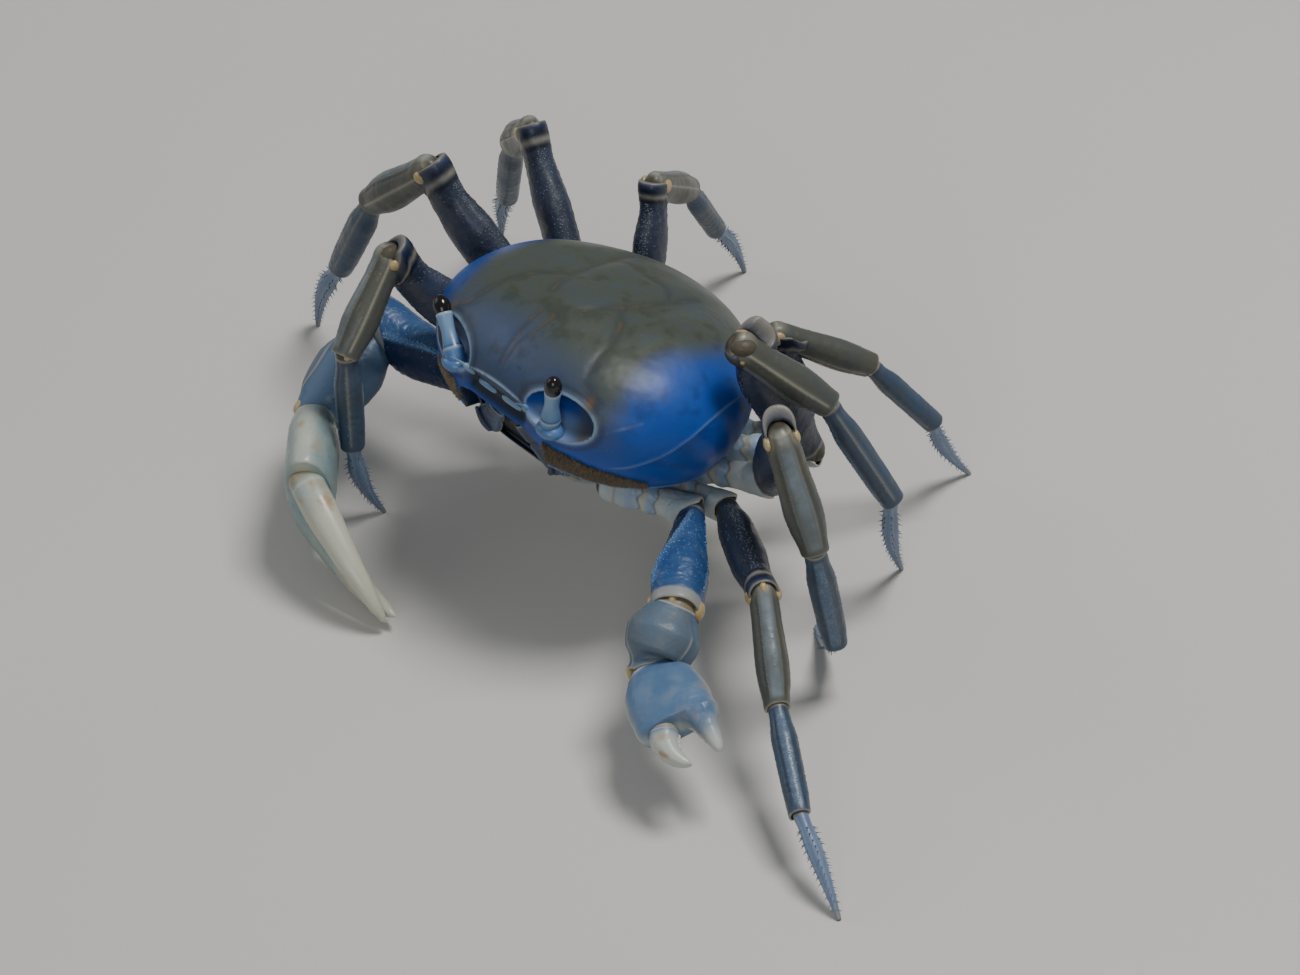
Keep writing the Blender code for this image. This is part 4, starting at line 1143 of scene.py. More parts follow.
    def relief(self, points: np.ndarray) -> tuple[np.ndarray, np.ndarray]:
        """Works out how far the fine relief stands out and its marks.

        Args:
            points: points of the plain dome in millimetres.

        Returns:
            Heights in millimetres, and marks: olive, pale rim, gold line and dark, which is painted shade in
                the grooves, round the orbits and in the hollow under the brow, over random dark patches of
                the shell's own tone.
        """
        x, y, z = np.abs(points[:, 0]), points[:, 1], points[:, 2]
        plan = np.stack((x, y), axis=1)
        top = step(z, -1.0, 5.0)
        height, gold, painted_shade = np.zeros(len(points)), np.zeros(len(points)), np.zeros(len(points))
        wander = turbulence(points * MM, 170.0, 3.0) * 0.4
        broken = step(turbulence(points * MM, 260.0, 4.0), -0.9, 0.3)
        for path, depth, width in self.grooves:
            away = self.distance(plan, path) + wander
            height -= depth * bell(away, 0.0, width) * top
            gold = np.maximum(gold, bell(away, 0.0, 0.26) * top * 0.42 * broken)
            # painted shade along the groove
            painted_shade = np.maximum(painted_shade, bell(away, 0.0, width) * top * 0.32)
        front = step(-y, 18.0, 30.0)
        turn = np.degrees(np.arctan2(y, x))
        ridge = z - (-8.0 + 16.6 * step(turn, -38.0, 6.0)) + 0.4 * wander
        window = step(turn, -37.0, -31.0) * (1 - step(turn, 9.0, 17.0)) * step(x, 20.0, 30.0)
        height += 0.28 * bell(ridge, 0.0, 0.5) * window
        pale = 0.42 * bell(ridge, 0.0, 0.30) * window
        crease = self.distance(np.stack((x, y, z), axis=1), self.crease)
        pale = np.maximum(pale, 0.40 * bell(crease, 0.0, 0.35))
        for side in (1, -1):
            away = np.where(points[:, 0] * side > 0, self.orbit_away(points, side), 50.0)
            height += 0.40 * bell(away, 0.9, 1.0)
            pale = np.maximum(pale, 0.85 * bell(away, 0.45, 0.55))
            # painted shade in a band just outside the orbit's raised rim
            painted_shade = np.maximum(painted_shade, 0.45 * bell(away, 2.4, 0.8))
        spot = np.hypot(x - self.spot[0], y - self.spot[1])
        gold = np.maximum(gold, 0.75 * bell(spot, 0.0, 1.1) * top)
        rim = z - self.rim_height(y)
        height += 0.6 * bell(rim, 0.5, 0.7)
        pale = np.maximum(pale, 0.75 * bell(rim, 0.35, 0.5))
        brow_line = z - 3.2 + 0.012 * x * x
        brow = bell(brow_line, 0.0, 0.42) * (1 - step(x, 11.0, 13.5)) * front
        height += 0.7 * brow
        pale = np.maximum(pale, 0.62 * brow)
        hollow = bell(z, -2.2, 3.2) * (1 - step(x, 11.0, 13.5)) * front
        height -= 2.2 * hollow
        cloud = turbulence(points * MM, 45.0, 1.0)
        fine = turbulence(points * MM, 200.0, 6.0)
        side_blue = step(x + 2.5 * cloud + 1.2 * fine, 30.0, 41.5)
        lobe_blue = step(-y + 3.0 * cloud + 2.0 * fine, 20.0, 37.0)
        olive = (1 - 0.98 * side_blue) * (1 - 0.26 * lobe_blue) * (0.98 + 0.06 * fine)
        olive *= np.maximum(step(z, -6.0, 3.0), 0.8 * step(y, 20.0, 36.0) * (1 - step(x, 22.0, 36.0)))
        # painted shade in the hollow under the brow, joined with the painted shade of the grooves and orbits
        dark = np.maximum(0.95 * step(hollow, 0.15, 0.7), painted_shade)
        dark = np.maximum(dark, 0.30 * step(fine, 0.1, 0.9))
        height += 0.05 * turbulence(points * MM, 200.0, 2.0)
        return height, np.stack((olive, pale, gold, dark), axis=1)

    def build(self) -> None:
        """Builds the carapace, cuts its orbits and the mouth's notch, and dresses it."""
        bm = plain_ball(self.around, self.rows)
        row, angle = ball_turns(bm)
        low = self.low_lift(angle)
        share = np.clip(row / self.rim_share, 0, 1)
        points = self.surface(angle, math.pi / 2 + (low - math.pi / 2) * share ** 0.9)
        inset = 1.0 - step(row, self.rim_share, 1.0)
        under = row > self.rim_share
        points[:, :2] *= np.where(under, inset, 1.0)[:, None]
        points[:, 2] = np.where(under, self.rim_height(points[:, 1]), points[:, 2])
        height, marks = self.relief(points)
        way = points / np.array((HALF ** 2, REAR ** 2, (TOP * 1.2) ** 2))
        way /= np.maximum(np.linalg.norm(way, axis=1, keepdims=True), 1e-9)
        points = points + way * (height * (1 - step(row, 0.925, 0.95)))[:, None]
        move_points(bm, self.body.tilt_all(points))
        shell = finish_mesh(bm, "shell", marks)
        carve(shell, [self.bowl(1), self.bowl(-1), self.notch()])
        self.paint_inside(shell)
        self.dresser.dress(shell, Slot.SHELL, ("carapace",))

    def bowl(self, side: int) -> bpy.types.Object:
        """Makes the cutter of one orbit.

        Args:
            side: 1 on the left, -1 on the right.

        Returns:
            The cutter.
        """
        bm = plain_ball(96, 56)
        at = Vector((ORBIT_AT[0] * side, ORBIT_AT[1], ORBIT_AT[2]))
        local = Matrix.Translation(at) @ Matrix.Rotation(math.radians(side * ORBIT_TURN), 4, "Z")
        local = local @ Matrix.Diagonal((*ORBIT_HALF, 1.0))
        for vert in bm.verts:
            vert.co = self.body.tilt(local @ vert.co)
        return finish_mesh(bm, f"orbit_bowl_{side}")

    def notch(self) -> bpy.types.Object:
        """Makes the cutter of the room for the mouth.

        Returns:
            The cutter.
        """
        gap, forward = 0.3, 12.0
        middle, tall = (MOUTH_TOP + MOUTH_FLOOR) / 2, (MOUTH_TOP - MOUTH_FLOOR) / 2 + gap
        bm = plain_ball(64, 24)
        row, turn = ball_turns(bm)
        c, s = np.cos(turn), np.sin(turn)
        size = np.minimum(1.0, np.minimum(row, 1 - row) / 0.1)
        x = (MOUTH_HALF + gap) * np.sign(c) * np.abs(c) ** 0.4 * size
        z = middle + tall * np.sign(s) * np.abs(s) ** 0.4 * size
        back, ahead = MOUTH_BACK + gap, MOUTH_FRONT - forward
        y = back + (ahead - back) * np.clip((row - 0.1) / 0.8, 0, 1)
        move_points(bm, self.body.tilt_all(np.stack((x, y, z), axis=1)))
        return finish_mesh(bm, "mouth_notch")


def carve(piece: bpy.types.Object, tools: list[bpy.types.Object]) -> None:
    """Cuts tools out of a piece by one Boolean of their collection, then removes them.

    Args:
        piece: the object that is cut.
        tools: closed cutters.
    """
    pool = bpy.data.collections.new("cutters")
    for tool in tools:
        bpy.context.scene.collection.objects.unlink(tool)
        pool.objects.link(tool)
    bpy.context.scene.collection.children.link(pool)
    cut = piece.modifiers.new("cut", "BOOLEAN")
    cut.operand_type = "COLLECTION"
    cut.collection = pool
    cut.solver = "EXACT"
    bpy.context.view_layer.update()
    graph = bpy.context.evaluated_depsgraph_get()
    shaped = bpy.data.meshes.new_from_object(piece.evaluated_get(graph))
    piece.modifiers.clear()
    piece.data = shaped
    for tool in list(pool.objects):
        bpy.data.objects.remove(tool)
    bpy.data.collections.remove(pool)


@dataclass
class Fur:
    """The velvet of short hair under each front side of the shell."""

    shell: Shell
    tufts: int = 7000
    length: float = 1.3
    width: float = 0.13
    bake_patch: float = 0.003

    def spot(self, along: float, across: float, side: int) -> np.ndarray:
        """Finds a point of the furred strip.

        Args:
            along: share from the mouth outward.
            across: share from the upper edge down.
            side: 1 on the left, -1 on the right.

        Returns:
            The place in millimetres of the shell's frame.
        """
        angle = np.array([math.radians(-73.0 + 53.0 * along)])
        high = -4.4 - 7.2 * along ** 0.9
        low = -13.4 - 2.2 * along
        height = high + (low - high) * across
        lift = -np.arcsin(np.clip(-np.array([height]) / DEEP, 0, 1))
        point = self.shell.surface(angle, lift)[0]
        point[0] *= side
        return point

    def build(self, side: int, label: str) -> None:
        """Grows the strip of one side.

        Args:
            side: 1 on the left, -1 on the right.
            label: name of the side.
        """
        draw = np.random.default_rng(SEED + side)
        template = spike(3, 0.1)
        count = len(template.verts)
        places, tones, roots = [], [], []
        for _ in range(self.tufts):
            along = draw.random()
            full = min(1.0, (1.0 - along) / 0.25, (0.03 + along) / 0.12) ** 0.5
            across = 0.5 + (draw.random() - 0.5) * full * draw.uniform(0.85, 1.08)
            point = self.spot(along, across, side)
            if abs(point[0]) < MOUTH_HALF + 1.2 and point[2] < MOUTH_TOP + 1.6:
                continue
            way = point / np.array((HALF ** 2, REAR ** 2, DEEP ** 2))
            way /= np.linalg.norm(way)
            lean = np.array((0.15 * side, -0.1, -0.75)) + draw.normal(0, 0.22, 3)
            way = way + lean
            way /= np.linalg.norm(way)
            size = self.length * draw.uniform(0.6, 1.15) * MM
            base = self.shell.body.tilt(Vector(point))
            tip = self.shell.body.tilt(Vector(point + way))
            wide = self.width * draw.uniform(0.7, 1.3) * MM
            places.append(turned(base, (tip - base), (wide, wide, size)))
            tones.append(draw.random() ** 2)
            roots.append((0.04 + 0.9 * along, 0.04 + 0.9 * across))
        made = scatter("fur_" + label, template, places, tones)
        layer = made.data.uv_layers.new(name="OFBake")
        corner = np.zeros(len(made.data.loops), dtype=np.int32)
        made.data.loops.foreach_get("vertex_index", corner)
        spread = np.array([(math.cos(2.1 * k), math.sin(2.1 * k)) for k in range(count)])
        spread = spread * self.bake_patch / 2
        uv = np.array(roots)[corner // count] + spread[corner % count]
        layer.data.foreach_set("uv", uv.astype(np.float32).ravel())
        self.shell.dresser.dress(made, Slot.SHELL, (), FUR)


class Kind(Enum):
    """Kinds of limb segment."""

    HIP = "hip"
    MERUS = "merus"
    CARPUS = "carpus"
    PROPODUS = "propodus"
    DACTYL = "dactyl"
    ARM = "arm"
    WRIST = "wrist"


# the ridge that winds round a claw's arm: place round it at the near end, and turn to the far end
ARM_RIDGE, ARM_TWIST = -28.0, 130.0
RIDGES = {
    Kind.HIP: (),
    Kind.MERUS: (Ridge(0, 0.06, 14), Ridge(180, 0.05, 18), Ridge(55, -0.03, 22), Ridge(-55, -0.03, 22)),
    Kind.CARPUS: (Ridge(0, 0.06, 20), Ridge(38, -0.06, 9), Ridge(-38, -0.06, 9), Ridge(80, 0.05, 14),
                  Ridge(-80, 0.05, 14)),
    Kind.PROPODUS: (Ridge(0, 0.05, 16), Ridge(40, -0.06, 10), Ridge(-40, -0.06, 10), Ridge(80, 0.05, 12),
                    Ridge(-80, 0.05, 12), Ridge(130, -0.04, 14), Ridge(-130, -0.04, 14)),
    Kind.DACTYL: tuple(Ridge(60 * k, 0.10, 13, 0.14, 0.9) for k in range(6)),
    Kind.ARM: (Ridge(ARM_RIDGE, 0.12, 10, twist=ARM_TWIST), Ridge(-75, 0.06, 14), Ridge(180, 0.05, 20)),
    Kind.WRIST: (),
}
FORMS = {
    Kind.HIP: HIP_FORM, Kind.MERUS: MERUS_FORM, Kind.CARPUS: CARPUS_FORM, Kind.PROPODUS: PROPODUS_FORM,
    Kind.ARM: ARM_FORM, Kind.WRIST: WRIST_FORM,
}
SLOTS = {
    Kind.HIP: Slot.HIP, Kind.MERUS: Slot.MERUS, Kind.CARPUS: Slot.CARPUS, Kind.PROPODUS: Slot.PROPODUS,
    Kind.DACTYL: Slot.DACTYL, Kind.ARM: Slot.ARM, Kind.WRIST: Slot.WRIST,
}


@dataclass(frozen=True)
class SegmentPaint:
    """Paints one kind of segment; the hand is -1 on a right claw, whose pattern is mirrored."""

    kind: Kind
    hand: int = 1
    length: float = 19.0
    girth: float = 10.7

    def __call__(self, row: np.ndarray, angle: np.ndarray, points: np.ndarray) -> np.ndarray:
        """Works out the colour marks.

        Args:
            row: share along the segment of each point.
            angle: turn round it in radians.
            points: places in metres.

        Returns:
            Four marks for each point: lighter strip, pale edges, dark, which on a claw's arm is also painted
                shade on the face beyond its ridge, and skin.
        """
        cloud = turbulence(points, 200.0, 5.0)
        fine = turbulence(points, 1100.0, 6.0, 2)
        turn = angle_off(angle, 0.0) * self.hand
        off = np.abs(turn)
        body = step(row, 0.13, 0.18) * (1 - step(row, 0.74, 0.79))
        pale = np.maximum(0.75 * bell(row, 0.127, 0.008), 0.8 * bell(row, 0.822, 0.012))
        dark = 0.35 * bell(row, 0.145, 0.012)
        strip = np.zeros(len(row))
        if self.kind is Kind.MERUS:
            strip = (0.25 + 0.35 * np.clip(fine, 0, 1) + 0.35 * bell(off, 0.0, 15.0)) * body
            pale = np.maximum(pale, 0.75 * bell(row, 0.735, 0.016))
            dark = np.maximum(dark, 0.85 * bell(row, 0.700, 0.012) + 0.7 * bell(row, 0.772, 0.012))
        elif self.kind is Kind.CARPUS:
            body = 1 - step(row, 0.76, 0.80)
            strip = 0.8 * (1 - step(off, 12.0, 30.0)) * body * (0.8 + 0.4 * cloud)
            pale = np.maximum(0.85 * bell(row, 0.822, 0.012), 0.32 * (1 - step(row, 0.06, 0.16)))
            pale = np.maximum(pale, 0.30 * bell(off, 27.0, 2.0) * body)
            pale = np.maximum(pale, 0.65 * bell(off, 84.0, 4.0) * body)
            pale = np.maximum(pale, 0.60 * bell(row, 0.045, 0.010))
            dark = 0.30 * bell(off, 38.0, 6.0) * body
        elif self.kind is Kind.PROPODUS:
            strip = (1 - step(off, 16.0, 24.0)) * body * (0.55 + 0.45 * np.clip(2 * fine, 0, 1))
            pale = np.maximum(pale, 0.40 * bell(off, 84.0, 5.0) * body)
            dark = np.maximum(dark, 0.5 * bell(off, 34.0, 7.0) * body)
        elif self.kind is Kind.ARM:
            past = turn - (ARM_RIDGE + ARM_TWIST * row)
            strip = 0.6 * bell(past, 0.0, 7.0) * body + 0.2 * np.clip(cloud, 0, 1)
            # painted shade: the face beyond the winding ridge is painted dark as if turned from the light
            dark = np.maximum(dark, 0.93 * step(past, 5.0, 13.0) * (1 - step(turn, 135.0, 155.0)) * body)
            pale = np.maximum(pale, 0.7 * step(row, 0.765, 0.785) * (1 - step(row, 0.835, 0.85)))
        elif self.kind is Kind.WRIST:
            across = np.radians(off) * self.girth
            along = (row - 0.46) / 0.64 * self.length
            disc = np.hypot(across, along * 0.80)
            strip = step(disc, 11.6, 13.0) * 0.6
            pale = np.maximum(pale, 0.65 * bell(disc, 11.8, 0.45) * step(row, 0.3, 0.42))
            dark = np.maximum(0.5 * dark, 0.30 * bell(disc, 12.8, 0.6) * body)
        elif self.kind is Kind.HIP:
            strip = 0.55 * bell(row, 0.28, 0.05) + 0.55 * bell(row, 0.44, 0.05)
            edge = row + 0.012 * np.cos(5.0 * angle)
            pale = np.maximum(pale, 0.75 * bell(edge, 0.375, 0.016) + 0.65 * bell(edge, 0.50, 0.016))
            dark = np.maximum(dark, 0.6 * bell(edge, 0.345, 0.010) + 0.6 * bell(edge, 0.475, 0.010))
        hidden = {Kind.CARPUS: 0.028, Kind.HIP: 0.04}.get(self.kind, 0.112)
        skin = np.maximum(1 - step(row, hidden - 0.005, hidden + 0.005), step(row, 0.838, 0.848))
        return np.stack((np.clip(strip, 0, 1), np.clip(pale, 0, 1), np.clip(dark, 0, 1), skin), axis=1)


@dataclass
class Limb:
    """Shared making of legs and claws from a row of joints."""

    name: str
    body: Body
    dresser: Dresser
    skin: Finish = LEG_SKIN
    knobs: list[Matrix] = field(default_factory=list)
    skins: list[Matrix] = field(default_factory=list)
    grains: list[Matrix] = field(default_factory=list)
    around: int = 56
    rows: int = 110
    wall: float = 1.0
    gap: float = 0.35

    @staticmethod
    def ball_stations(loft: Loft, start: Vector, axes: tuple, ball: tuple[float, float]) -> None:
        """Adds the rounded near end that turns in the last segment's socket.

        Args:
            loft: the segment.
            start: its first joint.
            axes: unit vectors along, up and to the side.
            ball: half height and half thickness of the near end.
        """
        o, e, n = axes
        up, flat = ball[0] * MM, ball[1] * MM
        loft.close(0.0, start - o * up, e, n)
        for key, degrees in ((0.02, 30.0), (0.05, 62.0), (0.09, 86.0)):
            t = math.radians(degrees)
            loft.add(key, start - o * up * math.cos(t), e * up * math.sin(t), n * flat * math.sin(t))

    def segment(self, kind: Kind, start: Vector, end: Vector, side: Vector, ball: tuple, half: tuple,
                next_ball: tuple, next_way: Vector, shift: float = 0.0) -> Loft:
        """Shapes one segment with a hollow lip round the next joint.

        Args:
            kind: kind of segment.
            start: its first joint.
            end: its second joint.
            side: rough direction of its side.
            ball: half height and half thickness of its near end.
            half: its own half height and half thickness.
            next_ball: the same of the next segment's near end.
            next_way: direction of the next segment.
            shift: how far the far end sits to the outer side of the joint.

        Returns:
            The segment's loft.
        """
        axes = frame_of(end - start, side)
        o, e, n = axes
        loft = Loft(power=2.3, ridges=RIDGES[kind])
        self.ball_stations(loft, start, axes, ball)
        for share, u, s in FORMS[kind]:
            loft.add(0.10 + 0.64 * share, start + (end - start) * share,
                     e * half[0] * u * MM, n * half[1] * s * MM)
        reach = next_ball[0]
        outer = ((0.79, 0.05, 1.0), (0.81, 0.36, 0.98), (0.824, 0.44, 0.93))
        if kind is Kind.HIP:
            outer = ((0.73, -0.8, 0.94),) + outer
        centre = end + e * shift * MM
        for key, ahead, size in outer:
            loft.add(key, centre + o * reach * ahead * MM,
                     e * (next_ball[0] + self.wall) * size * MM,
                     n * (next_ball[1] + self.wall) * size * MM)
        cup = ((0.84, 0.36, 0.96), (0.86, 0.0, 1.0), (0.90, -0.5, 0.87), (0.95, -0.88, 0.50))
        for key, ahead, size in cup:
            loft.add(key, end + o * (reach + self.gap) * ahead * MM,
                     e * (next_ball[0] + self.gap) * size * MM,
                     n * (next_ball[1] + self.gap) * size * MM)
        loft.close(1.0, end - o * (reach + self.gap) * MM, e, n)
        across = next_way - o * next_way.dot(o)
        bend = math.degrees(o.angle(next_way))
        loft.slant_angle = math.degrees(math.atan2(across.dot(n), across.dot(e)))
        loft.slant = -o * reach * MM * (0.10 + 1.05 * math.sin(math.radians(min(90.0, bend))))
        return loft

    def joint(self, at: Vector, way: Vector, next_way: Vector, side: Vector, ball: tuple,
              knob: float) -> None:
        """Adds the skin and the cream knobs of a joint.

        Args:
            at: the joint.
            way: direction of the segment before it.
            next_way: direction of the segment after it.
            side: rough direction of its side.
            ball: half height and half thickness of the next segment's near end.
            knob: size of a knob in millimetres, or 0 for none.
        """
        middle = (way + next_way).normalized()
        o, e, n = frame_of(middle, side)
        turn = Matrix((e, n, o)).transposed().to_4x4()
        sizes = (ball[0] * 0.96 * MM, ball[1] * 0.96 * MM, ball[0] * 0.96 * MM)
        self.skins.append(Matrix.Translation(at) @ turn @ Matrix.Diagonal((*sizes, 1.0)))
        if knob:
            outer = ball[0] * 0.72 if way.angle(next_way) < 1.2 else 0.0
            for sign, out in ((1.0, 0.0), (-1.0, 0.0)) + (((0.0, outer),) if outer else ()):
                spot = at + (n * sign * (ball[1] + 0.35 * self.wall) + e * out + way * 0.3) * MM
                sizes = (knob * 1.3 * MM, knob * 0.8 * MM, knob * 1.4 * MM)
                self.knobs.append(Matrix.Translation(spot) @ turn @ Matrix.Diagonal((*sizes, 1.0)))

    def stud(self, loft: Loft, rows: np.ndarray, degrees: float | np.ndarray, radius: float,
             draw: np.random.Generator, spread: float = 3.0) -> None:
        """Sets a row of grains on a segment.

        Args:
            loft: the segment.
            rows: shares along it.
            degrees: place round it.
            radius: usual radius of a grain in millimetres.
            draw: source of the small differences.
            spread: how far grains stray round the segment in degrees.
        """
        angle = np.radians(degrees + draw.normal(0, spread, len(rows)))
        rows = rows + draw.normal(0, 0.003, len(rows))
        for at, way in zip(loft.points(rows, angle), loft.normals(rows, angle)):
            size = radius * draw.uniform(0.7, 1.25) * MM
            self.grains.append(turned(at, way, (size, size, size * 0.7)))

    def finish_small(self, grain: Finish, slot: Slot) -> None:
        """Makes the joined knobs, skins and grains of the limb.

        Args:
            grain: finish of the grains.
            slot: material slot of all three.
        """
        for label, places, finish in (("knobs", self.knobs, CONDYLE), ("joint_skins", self.skins, self.skin)):
            if places:
                made = scatter(f"{self.name}_{label}", plain_ball(20, 14), places)
                self.dresser.dress(made, slot, (), finish)
        if self.grains:
            made = scatter(f"{self.name}_grains", plain_ball(6, 4), self.grains)
            self.dresser.dress(made, slot, (), grain)


@dataclass
class Leg(Limb):
    """A walking leg of five segments."""

    def build(self, seed: int) -> None:
        """Builds and dresses the leg.

        Args:
            seed: number of the leg.
        """
        draw = np.random.default_rng(SEED * 100 + seed)
        pair, socket, hip_end, merus, carpus, propodus, last = LEGS[self.name]
        halves = LEG_SIZES[pair]
        points = [self.body.place(socket), self.body.place(hip_end)]
        for length, heading, pitch in (merus, carpus, propodus):
            points.append(points[-1] + aim(heading, pitch) * length * MM)
        length, heading = last
        drop = points[-1].z
        reach = math.sqrt(max(0.0, (length * MM) ** 2 - drop ** 2))
        points.append(points[-1] + aim(heading, 0.0) * reach - Vector((0, 0, drop)))
        ways = [(b - a).normalized() for a, b in zip(points, points[1:])]
        hip_side = aim(math.degrees(math.atan2(ways[0].y, ways[0].x)) - 90.0, 0.0)
        sides = [hip_side] + [aim(merus[1] - 90.0, 0.0)] * 4
        balls = [(u * a, s * b) for (u, s), (a, b) in zip(halves[:1] + halves[:4], LEG_BALLS)]
        for k, kind in enumerate((Kind.HIP, Kind.MERUS, Kind.CARPUS, Kind.PROPODUS)):
            shift = fold_shift(ways[k], ways[k + 1], balls[k + 1][0]) if k else 0.0
            loft = self.segment(kind, points[k], points[k + 1], sides[k], balls[k], halves[k], balls[k + 1],
                                ways[k + 1], shift)
            loft.rough = {Kind.MERUS: 0.14, Kind.HIP: 0.12}.get(kind, 0.07) * MM
            piece = loft.build(f"{self.name}_{kind.value}_shell", self.around, self.rows, SegmentPaint(kind))
            self.dresser.dress(piece, SLOTS[kind], (f"{self.name}_{kind.value}",))
            self.joint(points[k + 1], ways[k], ways[k + 1], sides[k], balls[k + 1], (0.0, 1.5, 0.8, 0.0)[k])
            self.grow_grains(kind, loft, draw)
        self.build_dactyl(points[4], points[5], sides[4], balls[4], halves[4], draw)
        self.finish_small(GRAIN, Slot.PROPODUS)

    def grow_grains(self, kind: Kind, loft: Loft, draw: np.random.Generator) -> None:
        """Sets the rows of grains that each kind of segment has.

        Args:
            kind: kind of segment.
            loft: the segment.
            draw: source of the small differences.
        """
        if kind is Kind.MERUS:
            for degrees in (-8, 0, 8):
                self.stud(loft, np.linspace(0.18, 0.68, 42), degrees, 0.20, draw, 4.0)
            self.stud(loft, draw.uniform(0.18, 0.68, 110), 0.0, 0.17, draw, 45.0)
            self.stud(loft, np.linspace(0.20, 0.66, 30), 180.0, 0.26, draw)
        if kind is Kind.CARPUS:
            for degrees in (27, -27, 80, -80):
                self.stud(loft, np.linspace(0.20, 0.70, 28), degrees, 0.15, draw, 1.5)
        if kind is Kind.PROPODUS:
            for degrees in (-16, -6, 4, 14, 80, -80):
                self.stud(loft, np.linspace(0.18, 0.74, 34), degrees, 0.20, draw, 3.0)

    def build_dactyl(self, start: Vector, tip: Vector, side: Vector, ball: tuple, half: tuple,
                     draw: np.random.Generator) -> None:
        """Builds the tapered last segment with its rows of spines, cut flat at the floor.

        Args:
            start: its joint.
            tip: its point on the floor.
            side: rough direction of its side.
            ball: half height and half thickness of its near end.
            half: its own half height and half thickness.
            draw: source of the small differences.
        """
        axes = frame_of(tip - start, side)
        o, e, n = axes
        loft = Loft(power=2.2, ridges=RIDGES[Kind.DACTYL])
        self.ball_stations(loft, start, axes, ball)
        for share, u, s in DACTYL_FORM:
            bow = e * half[0] * 0.9 * math.sin(math.pi * share) * MM
            loft.add(0.10 + 0.84 * share, start + (tip - start) * share + bow, e * half[0] * u * MM,
                     n * half[1] * s * MM)
        loft.add(0.965, tip - o * 0.25 * MM, e * 0.60 * MM, n * 0.60 * MM)
        loft.add(1.0, tip, e * 0.2 * MM, n * 0.2 * MM)
        piece = loft.build(f"{self.name}_dactyl_shell", 48, 80, self.dactyl_marks)
        ground(piece)
        self.dresser.dress(piece, Slot.DACTYL, (f"{self.name}_dactyl",))
        thorns = []
        for k in range(6):
            rows = np.linspace(0.24, 0.86, 13) + draw.normal(0, 0.006, 13)
            angle = np.radians(60.0 * k + draw.normal(0, 3.0, 13))
            for row, at, way in zip(rows, loft.points(rows, angle), loft.normals(rows, angle)):
                thin = 1.0 - 0.6 * row
                lean = Vector(way) + o * 0.55
                sizes = (0.30 * thin * MM, 0.30 * thin * MM, 1.25 * (0.4 + thin) * MM)
                thorns.append(turned(at - way * 0.1 * MM, lean, sizes))
        piece = scatter(f"{self.name}_dactyl_spines", spike(6, 0.12), thorns)
        ground(piece)
        self.dresser.dress(piece, Slot.DACTYL, (), GRAIN)

    @staticmethod
    def dactyl_marks(row: np.ndarray, angle: np.ndarray, points: np.ndarray) -> np.ndarray:
        """Paints a dactyl.

        Args:
            row: share along it of each point.
            angle: turn round it in radians.
            points: places in metres.

        Returns:
            Four marks for each point: light ridges, cream tip, dark point and skin.
        """
        ridge = 0.5 + 0.5 * np.cos(angle * 6.0)
        pale = np.maximum(0.55 * step(row, 0.78, 0.95), 0.7 * bell(row, 0.127, 0.008))
        return np.stack((0.5 * ridge, pale, 0.6 * step(row, 0.93, 0.99), 1 - step(row, 0.108, 0.118)), axis=1)


def fold_shift(way: Vector, next_way: Vector, reach: float) -> float:
    """Returns how far a segment's end moves to the outer side of a tightly folded joint."""
    bend = math.degrees(way.angle(next_way))
    return 0.85 * reach * max(0.0, bend - 50.0) / 90.0


def ground(piece: bpy.types.Object) -> None:
    """Keeps a piece's points from going below the floor."""
    for vert in piece.data.vertices:
        vert.co.z = max(vert.co.z, 0.0)


